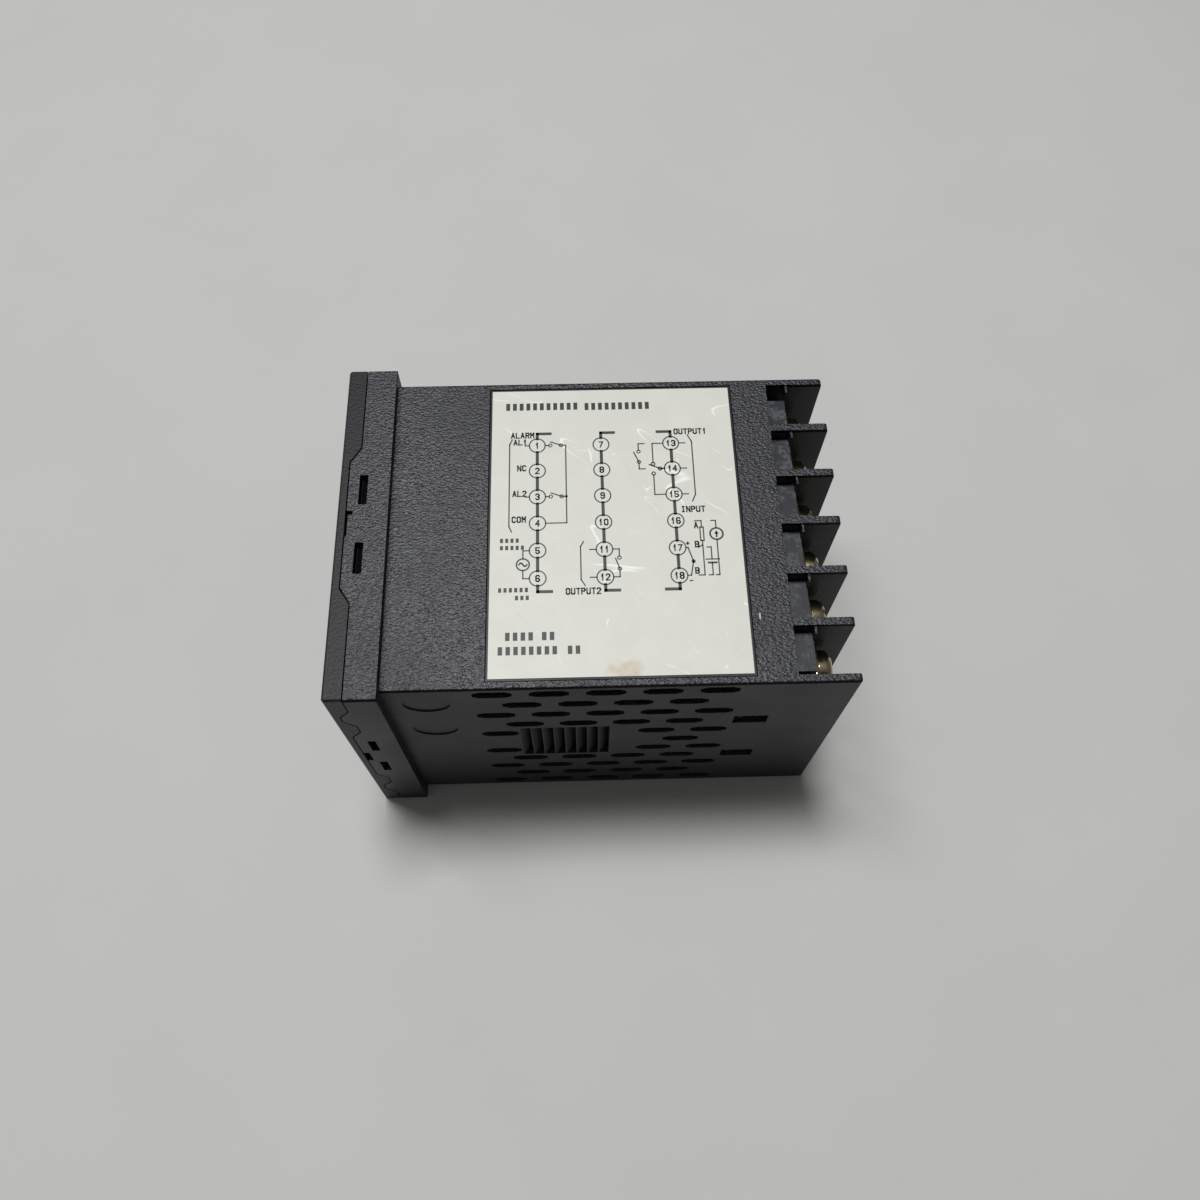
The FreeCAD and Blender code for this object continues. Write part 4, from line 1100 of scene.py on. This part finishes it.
class OBJECT_OT_keys(bpy.types.Operator):
    """Finish the keys, mark them and finish the switches behind them"""

    bl_idname = "controller.keys"
    bl_label = "Keys"

    def execute(self, context):
        looks = context.scene.front_looks
        key = satin_plastic("grey_key_satin", context.scene.case_finish.key_colour, 0.5)
        ink = satin_plastic("pale_key_ink", looks.mark_colour, 0.5)
        half = looks.mark_size / MM / 2
        finish_nodes(key, *KEY_MARKS)
        for name, mark in KEY_MARKS.items():
            art = front_art(name)
            if mark:
                art.polygon([(across * half, up * half) for across, up in mark])
            else:
                art.ring((0, 0), half * 0.8, half * 0.35)
            mesh_piece(name + "_mark", art.shape, ink, body=name)
        finish_nodes(plain_moulding("switch_housing_moulded", "#202124", 0.5), *numbered("key_switch", 4))
        finish_nodes(plain_moulding("switch_plunger_moulded", "#D8D2C0", 0.45),
                     *numbered("switch_plunger", 4))
        return {"FINISHED"}


# name, colour and roughness of each small component's finish, and the nodes that have it
COMPONENTS = (
    ("header_moulded", "#1E1F22", 0.5, numbered("board_header", 3)),
    ("relay_cover_moulded", "#24457E", 0.3, numbered("relay", 3)),
    ("ferrite_sintered", "#2B2B2E", 0.55, ["transformer_core"]),
    ("winding_tape_polyester", "#D9B437", 0.25, ["transformer_winding"]),
    ("aluminium_can_sleeved", "#31333C", 0.3, ["smoothing_capacitor"]),
    ("fuse_body_moulded", "#5A3320", 0.45, ["fuse"]),
    ("chip_epoxy_moulded", "#222326", 0.5, ["controller_chip"]),
)


class OBJECT_OT_boards(bpy.types.Operator):
    """Finish the circuit boards and what stands on them"""

    bl_idname = "controller.boards"
    bl_label = "Boards and components"

    def execute(self, context):
        finish_nodes(board_laminate(), "panel_board", "power_board", "output_board", "input_board")
        for finish, code, roughness, names in COMPONENTS:
            finish_nodes(plain_moulding(finish, code, roughness), *names)
        return {"FINISHED"}


# ---- stage


class OBJECT_OT_stage(bpy.types.Operator):
    """Set the floor, camera and lights"""

    bl_idname = "controller.stage"
    bl_label = "Stage"

    def execute(self, context):
        looks = context.scene.stage_looks
        scene = context.scene
        # the unit rests on the flange's lower edge and on the ends of the fins, which lie as far below
        # its middle as the label lies above it
        flange_foot = CASE_LOW.z
        lean = math.atan2(-LABEL_HIGH.z - flange_foot, CASE_HIGH.x)
        half = looks.floor_side / 2
        shape = bmesh.new()
        square = ((-1, -1), (1, -1), (1, 1), (-1, 1))
        shape.faces.new([shape.verts.new((x * half, y * half, 0)) for x, y in square])
        floor = loose_object("floor", shape)
        floor.location = (0, 0, flange_foot)
        floor.rotation_euler = (0, -lean, 0)
        floor.data.materials.append(painted_floor())

        camera = linked_object("camera", bpy.data.cameras.new("camera"))
        camera.location = looks.camera_place
        camera.rotation_euler = looks.camera_turn
        camera.data.lens = looks.camera_lens
        camera.data.shift_x, camera.data.shift_y = looks.camera_shift
        camera.data.clip_start = 5 * MM
        scene.camera = camera

        middle = (CASE_LOW + CASE_HIGH) / 2
        for name, power, spot in (("key_lamp", looks.key_power, looks.key_place),
                                  ("fill_lamp", looks.fill_power, looks.fill_place)):
            lamp = linked_object(name, bpy.data.lights.new(name, "AREA"))
            lamp.data.energy = power
            lamp.data.size = looks.lamp_side
            lamp.location = spot
            lamp.rotation_euler = (middle - Vector(spot)).to_track_quat("-Z", "Y").to_euler()

        world = bpy.data.worlds.new("soft_room")
        scene.world = world
        world.use_nodes = True
        sky = world.node_tree.nodes["Background"]
        sky.inputs["Color"].default_value = (1.0, 1.0, 1.0, 1.0)
        sky.inputs["Strength"].default_value = looks.sky_strength
        scene.view_settings.view_transform = "Standard"
        return {"FINISHED"}


class VIEW3D_PT_controller(bpy.types.Panel):
    """Lists the controller's settings and the buttons of its operators"""

    bl_label = "Panel controller"
    bl_space_type = "VIEW_3D"
    bl_region_type = "UI"
    bl_category = "Controller"

    def draw(self, context):
        for title, owner, _ in SETTINGS:
            box = self.layout.box()
            box.label(text=title)
            settings = getattr(context.scene, owner)
            for name in settings.__annotations__:
                box.prop(settings, name)
        for operator in OPERATORS:
            self.layout.operator(operator.bl_idname)


SETTINGS = (
    ("Case", "case_finish", CaseFinish),
    ("Label", "label_looks", LabelLooks),
    ("Screws", "screw_form", ScrewForm),
    ("Front", "front_looks", FrontLooks),
    ("Stage", "stage_looks", StageLooks),
)
OPERATORS = (
    OBJECT_OT_case_finish,
    OBJECT_OT_contacts,
    OBJECT_OT_terminal_screws,
    OBJECT_OT_front,
    OBJECT_OT_keys,
    OBJECT_OT_boards,
    OBJECT_OT_label_print,
    OBJECT_OT_stage,
)


def register():
    for _, name, group in SETTINGS:
        bpy.utils.register_class(group)
        setattr(bpy.types.Scene, name, PointerProperty(type=group))
    for operator in OPERATORS:
        bpy.utils.register_class(operator)
    bpy.utils.register_class(VIEW3D_PT_controller)


def unregister():
    bpy.utils.unregister_class(VIEW3D_PT_controller)
    for operator in reversed(OPERATORS):
        bpy.utils.unregister_class(operator)
    for _, name, group in reversed(SETTINGS):
        delattr(bpy.types.Scene, name)
        bpy.utils.unregister_class(group)


def main():
    register()
    bpy.ops.controller.case_finish()
    bpy.ops.controller.contacts()
    bpy.ops.controller.terminal_screws()
    bpy.ops.controller.front()
    bpy.ops.controller.keys()
    bpy.ops.controller.boards()
    bpy.ops.controller.label_print()
    bpy.ops.controller.stage()


if __name__ == "__main__":
    main()
